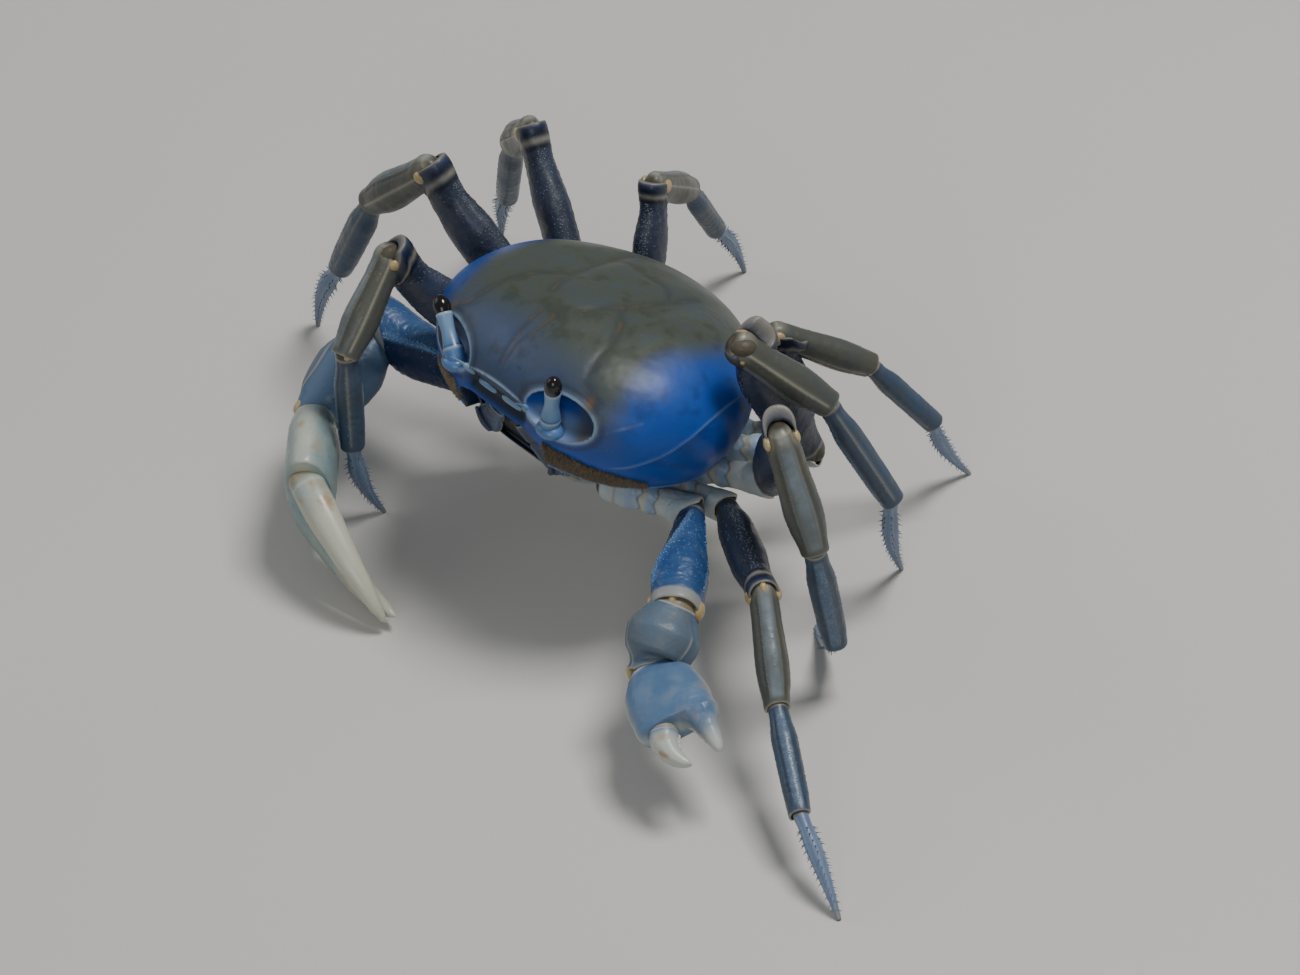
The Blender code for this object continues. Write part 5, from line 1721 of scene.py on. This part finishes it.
@dataclass
class Claw(Limb):
    """A claw: hip, arm, wrist, palm with its fixed finger, and the moving finger."""

    slot: Slot = Slot.SMALL
    skin: Finish = CLAW_SKIN

    def build(self, seed: int) -> None:
        """Builds and dresses the claw.

        Args:
            seed: number of the claw.
        """
        draw = np.random.default_rng(SEED * 200 + seed)
        plan = CLAWS[self.name]
        hand = -1 if plan.socket[0] < 0 else 1
        points = [self.body.place(plan.socket), self.body.place(plan.hip)]
        for length, heading, pitch in (plan.merus, plan.carpus, plan.palm):
            points.append(points[-1] + aim(heading, pitch) * length * MM)
        ways = [(b - a).normalized() for a, b in zip(points, points[1:])]
        halves = plan.sizes
        thick = plan.half[1]
        upper = aim(*plan.upper)
        upper = (upper - ways[3] * upper.dot(ways[3])).normalized()
        flank = ways[3].cross(upper)
        hip_side = aim(math.degrees(math.atan2(ways[0].y, ways[0].x)) - 90.0, 0.0)
        side = aim(plan.merus[1] - 90.0, 0.0)
        sides = (hip_side, side, side)
        wrist = 0.78 * thick
        balls = [tuple(0.9 * v for v in halves[0]), tuple(0.8 * v for v in halves[0]),
                 tuple(0.8 * v for v in halves[1]), (wrist, wrist)]
        for k, (kind, label) in enumerate(((Kind.HIP, "hip"), (Kind.ARM, "merus"), (Kind.WRIST, "carpus"))):
            shift = fold_shift(ways[k], ways[k + 1], balls[k + 1][0]) if k else 0.0
            loft = self.segment(kind, points[k], points[k + 1], sides[k], balls[k], halves[k], balls[k + 1],
                                ways[k + 1], shift)
            loft.ridges = tuple(replace(ridge, angle=ridge.angle * hand, twist=ridge.twist * hand)
                                for ridge in RIDGES[kind])
            loft.rough = (0.12, 0.16, 0.07)[k] * MM
            paint = SegmentPaint(kind, hand, (points[k + 1] - points[k]).length / MM, halves[k][0])
            piece = loft.build(f"{self.name}_{label}_shell", 96, 140, paint)
            self.dresser.dress(piece, SLOTS[kind], (f"{self.name}_{label}",))
            self.joint(points[k + 1], ways[k], ways[k + 1], sides[k], balls[k + 1], (0.0, 2.0, 1.6)[k])
            if kind is Kind.ARM:
                rows = np.linspace(0.18, 0.72, 44)
                for degrees in (ARM_RIDGE - 5.0, ARM_RIDGE + 3.0):
                    self.stud(loft, rows, (degrees + ARM_TWIST * rows) * hand, 0.30, draw, 2.0)
                for degrees in (-75, 180):
                    self.stud(loft, rows, degrees * hand, 0.28, draw, 2.5)
                self.stud(loft, draw.uniform(0.2, 0.70, 120), 0.0, 0.18, draw, 35.0)
        self.build_palm(plan, points, upper, flank, wrist, draw)
        self.finish_small(GRAIN_BLUE, Slot.ARM)

    def build_palm(self, plan: ClawPlan, points: list[Vector], upper: Vector, flank: Vector, wrist: float,
                   draw: np.random.Generator) -> None:
        """Builds the palm with its fixed finger, and the moving finger.

        Args:
            plan: places and sizes of the claw.
            points: its joints.
            upper: direction of the palm's upper edge.
            flank: direction of its flat side.
            wrist: radius of its near end in millimetres.
            draw: source of the small differences.
        """
        tall, thick = plan.half
        start, end = points[3], points[4]
        along = (end - start).normalized()
        lift, out, sag = (v * MM for v in plan.bow)
        palm = Loft(power=2.25)
        self.ball_stations(palm, start, (along, upper, flank), (wrist, wrist))
        for share, u, s in PALM_FORM:
            palm.add(0.10 + 0.42 * share, start + (end - start) * share,
                     upper * tall * u * MM, flank * thick * s * MM)
        length, heading, pitch = plan.fixed
        root = end - upper * tall * 0.50 * MM
        tip = root + aim(heading, pitch) * length * MM
        middle = (root + tip) / 2 - upper * sag + along * out * 1.4
        palm.add(0.56, root + along * 1.2 * MM, upper * tall * 0.46 * MM, flank * thick * 0.78 * MM)
        self.finger_stations(palm, 0.56, (root, middle, tip), flank, plan.half, FIXED_FORM)
        palm.rough = 0.06 * MM
        piece = palm.build(f"{self.name}_palm_shell", 120, 190, PalmPaint(0.56))
        self.dresser.dress(piece, self.slot, (f"{self.name}_palm",))
        hinge = end + upper * tall * 0.42 * MM
        length, heading, pitch = plan.finger
        far = hinge + aim(heading, pitch) * length * MM
        chord = (far - hinge).normalized()
        rise = (upper - chord * upper.dot(chord)).normalized()
        bent = (hinge + far) / 2 + rise * lift * 1.4 + along * out * 1.4
        finger = Loft(power=2.2)
        self.ball_stations(finger, hinge, frame_of(bent - hinge, flank), (tall * 0.34, thick * 0.70))
        self.finger_stations(finger, 0.10, (hinge, bent, far), flank, plan.half, FINGER_FORM)
        piece = finger.build(f"{self.name}_finger_shell", 80, 130, PalmPaint(0.0))
        self.dresser.dress(piece, self.slot, (f"{self.name}_finger",))
        self.build_teeth(((palm, 0.62, 0.96, 0.0), (finger, 0.26, 0.94, 180.0)), draw)

    @staticmethod
    def finger_stations(loft: Loft, first: float, path: tuple, flank: Vector, half: tuple,
                        form: tuple) -> None:
        """Adds the stations of a finger along its curve.

        Args:
            loft: the loft that gets them.
            first: key at which the finger starts.
            path: root, middle and tip.
            flank: direction of its flat side.
            half: half height and half thickness of the palm.
            form: share of length, height and thickness of each station.
        """
        for share, u, s in form:
            at = curve_point(*path, share)
            _, e, n = frame_of(curve_point(*path, share + 0.04) - at, flank)
            loft.add(first + (1.0 - first) * share, at, e * half[0] * u * MM, n * half[1] * s * MM)
        tip_up = frame_of(path[2] - path[1], flank)[1]
        loft.close(1.0, path[2], tip_up, flank)

    def build_teeth(self, edges: tuple, draw: np.random.Generator) -> None:
        """Sets blunt teeth along the inner edges of both fingers.

        Args:
            edges: loft, first and last share and place round it, of each row.
            draw: source of the small differences.
        """
        tall = CLAWS[self.name].half[0]
        teeth = []
        for loft, first, last, degrees in edges:
            rows = np.linspace(first, last, 16) + draw.normal(0, 0.003, 16)
            angle = np.radians(degrees + draw.normal(0, 2.0, 16))
            for k, (at, way) in enumerate(zip(loft.points(rows, angle), loft.normals(rows, angle))):
                big = (1.4 if k in (3, 6, 7, 10) else 0.8) * (1.1 - 0.05 * k)
                size = big * (0.30 + 0.028 * tall) * MM
                teeth.append(turned(at - way * size * 0.3, way, (size, size * 0.8, size * 1.0)))
        made = scatter(f"{self.name}_teeth", plain_ball(12, 8), teeth)
        self.dresser.dress(made, self.slot, (), TOOTH)


@dataclass(frozen=True)
class PalmPaint:
    """Paints a palm or a finger, whose finger starts at a share of its rows."""

    first: float

    def __call__(self, row: np.ndarray, angle: np.ndarray, points: np.ndarray) -> np.ndarray:
        """Works out the colour marks.

        Args:
            row: share along it of each point.
            angle: turn round it in radians.
            points: places in metres.

        Returns:
            Four marks for each point: lighter clouds, cream, stains and skin.
        """
        cloud = turbulence(points, 150.0, 8.0)
        fine = turbulence(points, 420.0, 9.0)
        tip = step(row + 0.04 * cloud, self.first + 0.06, self.first + 0.36)
        edges = 0.35 * bell(np.abs(angle_off(angle, 180.0)), 0.0, 24.0)
        edges = edges + 0.60 * bell(angle_off(angle, 0), 0.0, 26.0)
        stain = np.clip(1.5 * (cloud + 0.4 * fine) - 0.5, 0, 1) * (0.12 + 0.6 * np.maximum(tip, 1.6 * edges))
        cream = np.maximum(0.85 * tip, edges * step(row, 0.15, 0.3))
        cream = np.maximum(cream, 0.7 * bell(row, 0.135, 0.010))
        return np.stack((0.5 * np.clip(cloud, 0, 1), cream, stain, 1 - step(row, 0.105, 0.12)), axis=1)


@dataclass
class Eyes:
    """Both stalks and eyes."""

    body: Body
    dresser: Dresser
    # distance from the base and radius along a stalk, and its flat end under the eye
    form: tuple = ((-2.2, 1.7), (-0.8, 2.7), (0.8, 2.9), (2.4, 3.0), (3.6, 2.75), (5.2, 2.45),
                   (8.0, 2.1), (11.0, 2.25), (12.4, 2.4))
    end: tuple = (12.9, 2.1)
    # half sizes of the low foot of a stalk, and its place behind and below the base
    foot: tuple = (4.3, 4.0, 2.6)
    foot_at: tuple = (0.4, -1.7)

    def build(self) -> None:
        """Builds and dresses both sides."""
        for side, label in ((1, "left"), (-1, "right")):
            base = self.body.tilt(Vector((STALK_AT[0] * side, STALK_AT[1], STALK_AT[2])))
            axes = frame_of(aim(*STALK_WAYS[side]), aim(-90.0, 0.0))
            self.build_stalk(label, base, axes)
            self.build_foot(label, side)
            self.build_eye(label, base, axes)

    def build_stalk(self, label: str, base: Vector, axes: tuple) -> None:
        """Builds one stalk.

        Args:
            label: name of the side.
            base: its base.
            axes: unit vectors along, up and to the side of the stalk.
        """
        o, e, n = axes
        stalk = Loft(power=2.0)
        stalk.close(0.0, base - o * 2.9 * MM, e, n)
        for k, (reach, radius) in enumerate(self.form):
            stalk.add(0.08 + 0.10 * k, base + o * reach * MM, e * radius * MM, n * radius * MM)
        reach, radius = self.end
        stalk.add(0.95, base + o * reach * MM, e * radius * MM, n * radius * MM)
        stalk.close(1.0, base + o * reach * MM, e, n)
        piece = stalk.build(f"eyestalk_{label}_shell", 48, 80, self.stalk_marks)
        self.dresser.dress(piece, Slot.EYESTALK, ("eyestalk_" + label,))

    def build_foot(self, label: str, side: int) -> None:
        """Builds the low mound that a stalk stands on.

        Args:
            label: name of the side.
            side: 1 on the left, -1 on the right.
        """
        bm = plain_ball(40, 24)
        at = Vector((STALK_AT[0] * side, STALK_AT[1] + self.foot_at[0], STALK_AT[2] + self.foot_at[1]))
        for vert in bm.verts:
            vert.co = self.body.tilt(at + Vector([a * b for a, b in zip(vert.co, self.foot)]))
        self.dresser.dress(finish_mesh(bm, f"eyestalk_{label}_foot"), Slot.EYESTALK)

    def build_eye(self, label: str, base: Vector, axes: tuple) -> None:
        """Builds the dark eye at the end of a stalk.

        Args:
            label: name of the side.
            base: base of the stalk.
            axes: unit vectors along, up and to the side of the stalk.
        """
        o, e, n = axes
        bm = plain_ball(48, 32)
        turn = Matrix((e, n, o)).transposed().to_4x4()
        sizes = Matrix.Diagonal((EYE_RADIUS * MM, EYE_RADIUS * MM, EYE_LENGTH * MM, 1.0))
        at = Matrix.Translation(base + o * STALK_LENGTH * MM)
        bmesh.ops.transform(bm, matrix=at @ turn @ sizes, verts=bm.verts)
        piece = finish_mesh(bm, f"eye_{label}_cornea")
        self.dresser.dress(piece, Slot.EYE, ("eye_" + label,), CORNEA)

    @staticmethod
    def stalk_marks(row: np.ndarray, angle: np.ndarray, points: np.ndarray) -> np.ndarray:
        """Returns four marks for each point: light shaft, pale collars, dark crease and none."""
        collar = 0.6 * bell(row, 0.39, 0.03) + 0.7 * bell(row, 0.88, 0.03)
        return np.stack((0.7 * step(row, 0.45, 0.75), collar, 0.7 * bell(row, 0.455, 0.02), row * 0), axis=1)


@dataclass
class Mouth:
    """The mouth's block, the two plates over it with their palps, and the feelers above it."""

    body: Body
    dresser: Dresser

    def build(self) -> None:
        """Builds and dresses every mouth piece."""
        self.build_block()
        for side, label in ((1, "left"), (-1, "right")):
            self.build_plate(side, label)
            self.build_feelers(side, label)

    def put(self, loft: Loft, key: float, centre: tuple, up: tuple, side: tuple) -> None:
        """Adds a station given in millimetres of the shell's frame.

        Args:
            loft: the loft that gets it.
            key: its place along the loft.
            centre: its middle.
            up: its upper half axis.
            side: its other half axis.
        """
        at, top, edge = (Vector(v) for v in (centre, up, side))
        origin = self.body.tilt(at)
        loft.add(key, origin, self.body.tilt(at + top) - origin, self.body.tilt(at + edge) - origin)

    def build_block(self) -> None:
        """Builds the block, whose front is a hollow with a pale rim and painted shade inside."""
        middle, tall = (MOUTH_TOP + MOUTH_FLOOR) / 2, (MOUTH_TOP - MOUTH_FLOOR) / 2
        face = mouth_face(middle)
        loft = Loft(power=5.0)
        rows = ((0.0, MOUTH_BACK, 1e-3, 0.0), (0.10, MOUTH_BACK, 1.0, 0.0), (0.60, face, 0.99, 1.0),
                (0.64, face - 0.1, 0.97, 1.0), (0.68, face + 0.2, 0.92, 1.0), (0.74, face + 1.6, 0.89, 1.0),
                (1.0, face + 1.6, 1e-3, 1.0))
        for key, y, size, slope in rows:
            self.put(loft, key, (0.0, y, middle), (0.0, -MOUTH_SLOPE * slope * tall * size, tall * size),
                     (MOUTH_HALF * size, 0.0, 0.0))

        def paint(row: np.ndarray, angle: np.ndarray, points: np.ndarray) -> np.ndarray:
            """Returns four marks: blue, pale rim, brown and dark, which is painted shade in the hollow front.
            """
            return np.stack((0.5 * bell(row, 0.5, 0.1), 0.55 * bell(row, 0.63, 0.015), row * 0,
                             # painted shade over the hollow front, from its rim inward
                             step(row, 0.655, 0.67)), axis=1)

        self.dresser.dress(loft.build("mouth_frame", 96, 90, paint), Slot.MOUTH)

    def build_plate(self, side: int, label: str) -> None:
        """Builds one two-part plate with its palp.

        Args:
            side: 1 on the left, -1 on the right.
            label: name of the side.
        """
        out = np.array((0.0, -1.0, -MOUTH_SLOPE))
        out /= np.linalg.norm(out)
        ends = []
        for x, z in (PLATE_TOP, PLATE_END):
            ends.append(np.array((x * side, mouth_face(z), z)) + out * PLATE_OFF)
        along = (ends[1] - ends[0]) / np.linalg.norm(ends[1] - ends[0])
        across = np.cross(along, out) * side
        loft = Loft(power=2.8)
        self.put(loft, 0.0, ends[0], out * CLOSED / MM, across * CLOSED / MM)
        for share, wide in PLATE_FORM:
            thick = PLATE_THICK * (0.55 if abs(share - 0.37) < 0.01 else 0.95)
            self.put(loft, 0.08 + 0.84 * share, ends[0] + (ends[1] - ends[0]) * share,
                     out * thick, across * wide)
        self.put(loft, 1.0, ends[1], out * CLOSED / MM, across * CLOSED / MM)

        def paint(row: np.ndarray, angle: np.ndarray, points: np.ndarray) -> np.ndarray:
            """Paints a mouth plate.

            Args:
                row: share along it of each point.
                angle: turn round it in radians.
                points: places in metres.

            Returns:
                Four marks for each point: blue, pale edges, brown and dark.
            """
            edge = np.abs(np.abs(angle_off(angle, 0.0)) - 90.0)
            ends_pale = bell(row, 0.09, 0.03) + bell(row, 0.93, 0.03)
            pale = np.maximum(0.65 * bell(edge, 0.0, 16.0), 0.55 * ends_pale)
            blue = 0.45 * bell(angle_off(angle, 30.0), 0.0, 20.0)
            return np.stack((blue, pale, row * 0, 0.9 * bell(row, 0.39, 0.014)), axis=1)

        loft.rough = 0.05 * MM
        piece = loft.build(f"maxilliped_{label}_plates", 64, 110, paint)
        self.dresser.dress(piece, Slot.MOUTH, (f"maxilliped_{label}",))
        root = ends[0] + (ends[1] - ends[0]) * 0.93 + across * 2.0 + out * 0.9
        bend = root - across * 4.0 - along * 0.6 + out * 0.5
        tip = bend - across * 2.5 - along * 5.0 - out * 0.2
        self.build_tube(f"maxilliped_{label}_palp", (root, bend, tip), (1.0, 1.05, 0.75, 0.5), Slot.MOUTH)

    def build_feelers(self, side: int, label: str) -> None:
        """Builds the small feelers at the inner corner of an orbit and under the brow.

        Args:
            side: 1 on the left, -1 on the right.
            label: name of the side.
        """
        mirror = np.array((side, 1.0, 1.0))
        base, way = np.array(ANTENNA_AT) * mirror, np.array(ANTENNA_WAY) * mirror
        bend = base + way * 5.0 + np.array((0.4, 0.0, 0.3)) * mirror
        fold = np.array((2.0, -35.4, -1.2)) * mirror
        fold_bend = fold + np.array((3.4, -0.9, 0.6)) * mirror
        fold_end = fold + np.array((6.6, 0.2, -0.4)) * mirror
        for name, path, radii in (
            (f"antenna_{label}_base", (base - way, base + way, base + way * 3.0), (1.2, 1.25, 1.0, 0.6)),
            (f"antenna_{label}_whip", (base + way * 2.2, bend, base + way * 8.4), (0.45, 0.38, 0.26, 0.12)),
            (f"antennule_{label}", (fold, fold_bend, fold_end), (1.1, 1.2, 1.1, 0.8)),
        ):
            self.build_tube(name, path, radii, Slot.SHELL, FEELER)

    def build_tube(self, name: str, path: tuple, radii: tuple, slot: Slot,
                   finish: Finish | None = None) -> None:
        """Builds a small tapered tube along a bent path given in the shell's frame.

        Args:
            name: name of the piece.
            path: start, bend and end.
            radii: radii at four places along it.
            slot: its material slot.
            finish: a finish other than the slot's own.
        """
        a, b, c = (self.body.tilt(Vector(p)) for p in path)
        loft = Loft(power=2.0)
        shares = (0.0, 0.33, 0.66, 1.0)
        for k, (share, radius) in enumerate(zip(shares, radii)):
            at = curve_point(a, b, c, share)
            o, e, n = frame_of(curve_point(a, b, c, share + 0.02) - at, Vector((0.3, 0.2, 1.0)))
            if k == 0:
                loft.close(0.0, at - o * radius * MM, e, n)
            loft.add(0.12 + 0.76 * share, at, e * radius * MM, n * radius * MM)
            if k == len(shares) - 1:
                loft.close(1.0, at + o * radius * MM, e, n)
        self.dresser.dress(loft.build(name, 20, 36), slot, (), finish)


@dataclass
class Underside:
    """The grooved breast plates and the jointed flap folded under them."""

    body: Body
    dresser: Dresser
    # shares along the flap where one of its segments ends
    borders: tuple = (0.16, 0.30, 0.44, 0.57, 0.69, 0.80)
    # how far the breast stays behind the mouth's face
    behind_mouth: float = 2.8
    # room round a hip, half length of its socket, and how far out the socket's middle is
    socket_gap: float = 0.4
    socket_length: float = 22.0
    socket_reach: float = 16.0

    def build(self) -> None:
        """Builds and dresses the breast and the flap."""
        self.build_breast()
        self.build_flap()

    def build_breast(self) -> None:
        """Builds the breast with the grooves between its plates."""
        bm = plain_ball(200, 120)
        row, turn = ball_turns(bm)
        keys = np.concatenate(((0.0,), 0.12 + 0.70 * np.array([d for d, _ in BREAST_FORM]), (1.0,)))
        form = [(s, d, 0.0) for d, s in BREAST_FORM]
        shares = np.array([(1e-3, 0.0, 0.0)] + form + [(1e-3, 1.0, 0.0)])
        read = flow(row, keys, shares)
        size, depth = read[:, 0], read[:, 1]
        c, s = np.cos(turn), np.sin(turn)
        x = BREAST_HALF * size * np.sign(c) * np.abs(c) ** 0.85
        y = (BREAST_MIDDLE + BREAST_REACH * np.sign(s) * np.abs(s) ** 0.9) * size
        high = Shell.rim_height(y) - 0.3
        low = BREAST_LOW + BREAST_RISE * (np.maximum(0.0, y) / REAR) ** 2
        z = high + (low - high) * depth
        y = np.maximum(y, mouth_face(z) + self.behind_mouth)
        reach = np.abs(x) / BREAST_HALF
        groove = np.zeros(len(row))
        window = step(np.abs(x), 3.0, 8.0) * step(depth, 0.3, 0.6)
        for k in range(5):
            line = -16.0 + 9.5 * k + (2.0 * k - 3.0) * reach
            groove = np.maximum(groove, bell(y, line, 0.55) * window)
        cloud = turbulence(np.stack((x, y, z), axis=1) * MM, 120.0, 4.0)
        x -= np.sign(x) * 0.5 * groove * reach
        z += 0.8 * groove * depth + 0.15 * cloud * depth
        blue = 0.7 * step(reach + 0.2 * cloud, 0.5, 1.0)
        marks = np.stack((blue, 0.5 * bell(groove, 0.45, 0.25), 0.25 * np.clip(cloud, 0, 1),
                          0.6 * groove), axis=1)
        move_points(bm, self.body.tilt_all(np.stack((x, y, z), axis=1)))
        breast = finish_mesh(bm, "breast_plates", marks)
        carve(breast, self.sockets())
        self.dresser.dress(breast, Slot.UNDERSIDE, ("underside",))

    def sockets(self) -> list[bpy.types.Object]:
        """Makes the cutters of the room for the hips of the legs and claws.

        Returns:
            Closed cutters, whose marks paint shade on the walls of the sockets.
        """
        tools = []
        for name, data in (*LEGS.items(), *((n, (0, p.socket, p.hip, p.sizes)) for n, p in CLAWS.items())):
            socket, hip = Vector(data[1]), Vector(data[2])
            half = data[3][0] if name in CLAWS else LEG_SIZES[data[0]][0]
            way = hip - socket
            o, e, n = frame_of(way, aim(math.degrees(math.atan2(way.y, way.x)) - 90, 0))
            turned_to = Matrix((e, n, o)).transposed().to_4x4()
            up, flat = half[0] + self.socket_gap, half[1] + self.socket_gap
            sizes = Matrix.Diagonal((up * MM, flat * MM, self.socket_length * MM, 1.0))
            at = self.body.place(tuple(socket + o * self.socket_reach))
            tool = plain_ball(32, 24)
            bmesh.ops.transform(tool, matrix=Matrix.Translation(at) @ turned_to @ sizes, verts=tool.verts)
            # painted shade on the walls of the socket
            dark = np.tile((0.0, 0.0, 0.0, 0.7), (len(tool.verts), 1))
            tools.append(finish_mesh(tool, "socket_" + name, dark))
        return tools

    def build_flap(self) -> None:
        """Builds the flap with a step at each of its segments."""
        loft = Loft(power=3.0)
        last = len(FLAP_PATH) - 1
        path = np.array(FLAP_PATH)
        keys = np.linspace(0.06, 0.94, last + 1)
        spots = sorted(set(keys.tolist()) | {b + d for b in self.borders for d in (-0.012, 0.0, 0.012)})
        values = flow(np.array(spots), keys, path)
        ends = (np.array((0.0, *values[0, :2])), np.array((0.0, *values[-1, :2])))
        for k, (spot, value) in enumerate(zip(spots, values)):
            ahead, behind = values[min(len(spots) - 1, k + 1)], values[max(0, k - 1)]
            way = Vector((0, ahead[0] - behind[0], ahead[1] - behind[1])).normalized()
            up = way.cross(Vector((1, 0, 0)))
            groove = min(abs(spot - b) for b in self.borders) < 0.001
            thick = FLAP_THICK * (0.62 if groove else 1.0)
            centre = Vector((0.0, value[0], value[1]))
            origin = self.body.tilt(centre)
            if k == 0:
                loft.close(0.0, self.body.tilt(Vector(ends[0])), up, Vector((1, 0, 0)))
            loft.add(spot, origin, self.body.tilt(centre + up * thick) - origin,
                     Vector((value[2] * MM * (0.97 if groove else 1.0), 0, 0)))
        loft.close(1.0, self.body.tilt(Vector(ends[1])), Vector((0, 0, 1)), Vector((1, 0, 0)))

        def paint(row: np.ndarray, angle: np.ndarray, points: np.ndarray) -> np.ndarray:
            """Paints the flap.

            Args:
                row: share along it of each point.
                angle: turn round it in radians.
                points: places in metres.

            Returns:
                Four marks for each point: blue, pale, ochre and dark.
            """
            near = np.min(np.abs(row[:, None] - np.array(self.borders)), axis=1)
            cloud = turbulence(points, 150.0, 2.0)
            return np.stack((0.35 * np.clip(cloud, 0, 1), 0.5 * bell(near, 0.014, 0.008),
                             0.2 * np.clip(-cloud, 0, 1), 0.7 * bell(near, 0.0, 0.004)), axis=1)

        self.dresser.dress(loft.build("abdomen_flap", 64, 240, paint), Slot.UNDERSIDE, ("abdomen",))


@dataclass
class Stage:
    """The floor, the soft lights and the camera."""

    body: Body
    floor_half: float = 6.0
    # name of a lamp, its place from the shell's middle, size in metres and power in watts
    lamps: tuple = (
        ("key", (0.28, 0.42, 1.35), 0.45, 18.0),
        ("front", (0.9, -1.0, 0.75), 0.7, 4.5),
        ("side", (-1.2, -0.6, 0.8), 0.9, 3.0),
    )
    sky: tuple = (0.84, 0.90, 1.0, 1.0)
    sky_strength: float = 0.22

    def build(self) -> None:
        """Builds all three."""
        bm = bmesh.new()
        bmesh.ops.create_grid(bm, x_segments=1, y_segments=1, size=self.floor_half)
        floor = finish_mesh(bm, "floor")
        floor.data.materials.append(self.floor_material())
        floor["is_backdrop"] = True
        centre = self.body.tilt(Vector((0, 0, 0)))
        for name, place, size, power in self.lamps:
            lamp = bpy.data.lights.new(name, "AREA")
            lamp.energy = power
            lamp.size = size
            made = show(name, lamp)
            made.location = centre + Vector(place)
            made.rotation_euler = (centre - made.location).to_track_quat("-Z", "Y").to_euler()
        world = bpy.data.worlds.new("studio")
        world.use_nodes = True
        background = world.node_tree.nodes["Background"]
        background.inputs["Color"].default_value = self.sky
        background.inputs["Strength"].default_value = self.sky_strength
        bpy.context.scene.world = world
        self.build_camera(centre)

    @staticmethod
    def floor_material() -> bpy.types.Material:
        """Makes the pale floor's material, a little uneven in tone.

        Returns:
            The material.
        """
        made = bpy.data.materials.new("floor_pale")
        made.use_nodes = True
        nodes, links = made.node_tree.nodes, made.node_tree.links
        shader = nodes["Principled BSDF"]
        shader.inputs["Roughness"].default_value = 0.9
        place, cloud = nodes.new("ShaderNodeTexCoord"), nodes.new("ShaderNodeTexNoise")
        cloud.inputs["Scale"].default_value = 6.0
        links.new(place.outputs["Object"], cloud.inputs["Vector"])
        mix = nodes.new("ShaderNodeMix")
        mix.data_type = "RGBA"
        mix.inputs["A"].default_value = (0.56, 0.54, 0.50, 1.0)
        mix.inputs["B"].default_value = (0.60, 0.58, 0.54, 1.0)
        links.new(cloud.outputs["Fac"], mix.inputs["Factor"])
        links.new(mix.outputs["Result"], shader.inputs["Base Color"])
        return made

    @staticmethod
    def build_camera(centre: Vector) -> None:
        """Sets the camera at the photograph's angle and framing.

        Args:
            centre: middle of the shell in metres.
        """
        right, up = VIEW_RIGHT.normalized(), VIEW_UP.normalized()
        back = right.cross(up).normalized()
        up = back.cross(right)
        data = bpy.data.cameras.new("camera")
        data.sensor_width = SENSOR
        data.lens = SENSOR * VIEW_DISTANCE / (VIEW_WIDTH * MM)
        data.clip_start, data.clip_end = 0.05, 50.0
        camera = show("camera", data)
        target = centre + right * VIEW_MIDDLE[0] * MM + up * VIEW_MIDDLE[1] * MM
        turn = Matrix((right, up, back)).transposed().to_4x4()
        camera.matrix_world = Matrix.Translation(target + back * VIEW_DISTANCE) @ turn
        bpy.context.scene.camera = camera


for leftover in list(bpy.data.objects):
    bpy.data.objects.remove(leftover, do_unlink=True)
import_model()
CAD_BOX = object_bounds()


def main() -> None:
    """Builds the crab's looks in order."""
    logging.basicConfig(level=logging.INFO, format="%(message)s")
    body = Body.from_frame()
    dresser = Dresser()
    shell = Shell(body, dresser)
    shell.build()
    fur = Fur(shell)
    fur.build(1, "left")
    fur.build(-1, "right")
    for k, name in enumerate(LEGS):
        Leg(name, body, dresser).build(k)
    for k, (name, slot) in enumerate((("claw_left", Slot.SMALL), ("claw_right", Slot.LARGE))):
        Claw(name, body, dresser, slot=slot).build(k)
    Eyes(body, dresser).build()
    Mouth(body, dresser).build()
    Underside(body, dresser).build()
    Stage(body).build()
    log.info("%d pieces", dresser.count)


if __name__ == "__main__":
    main()
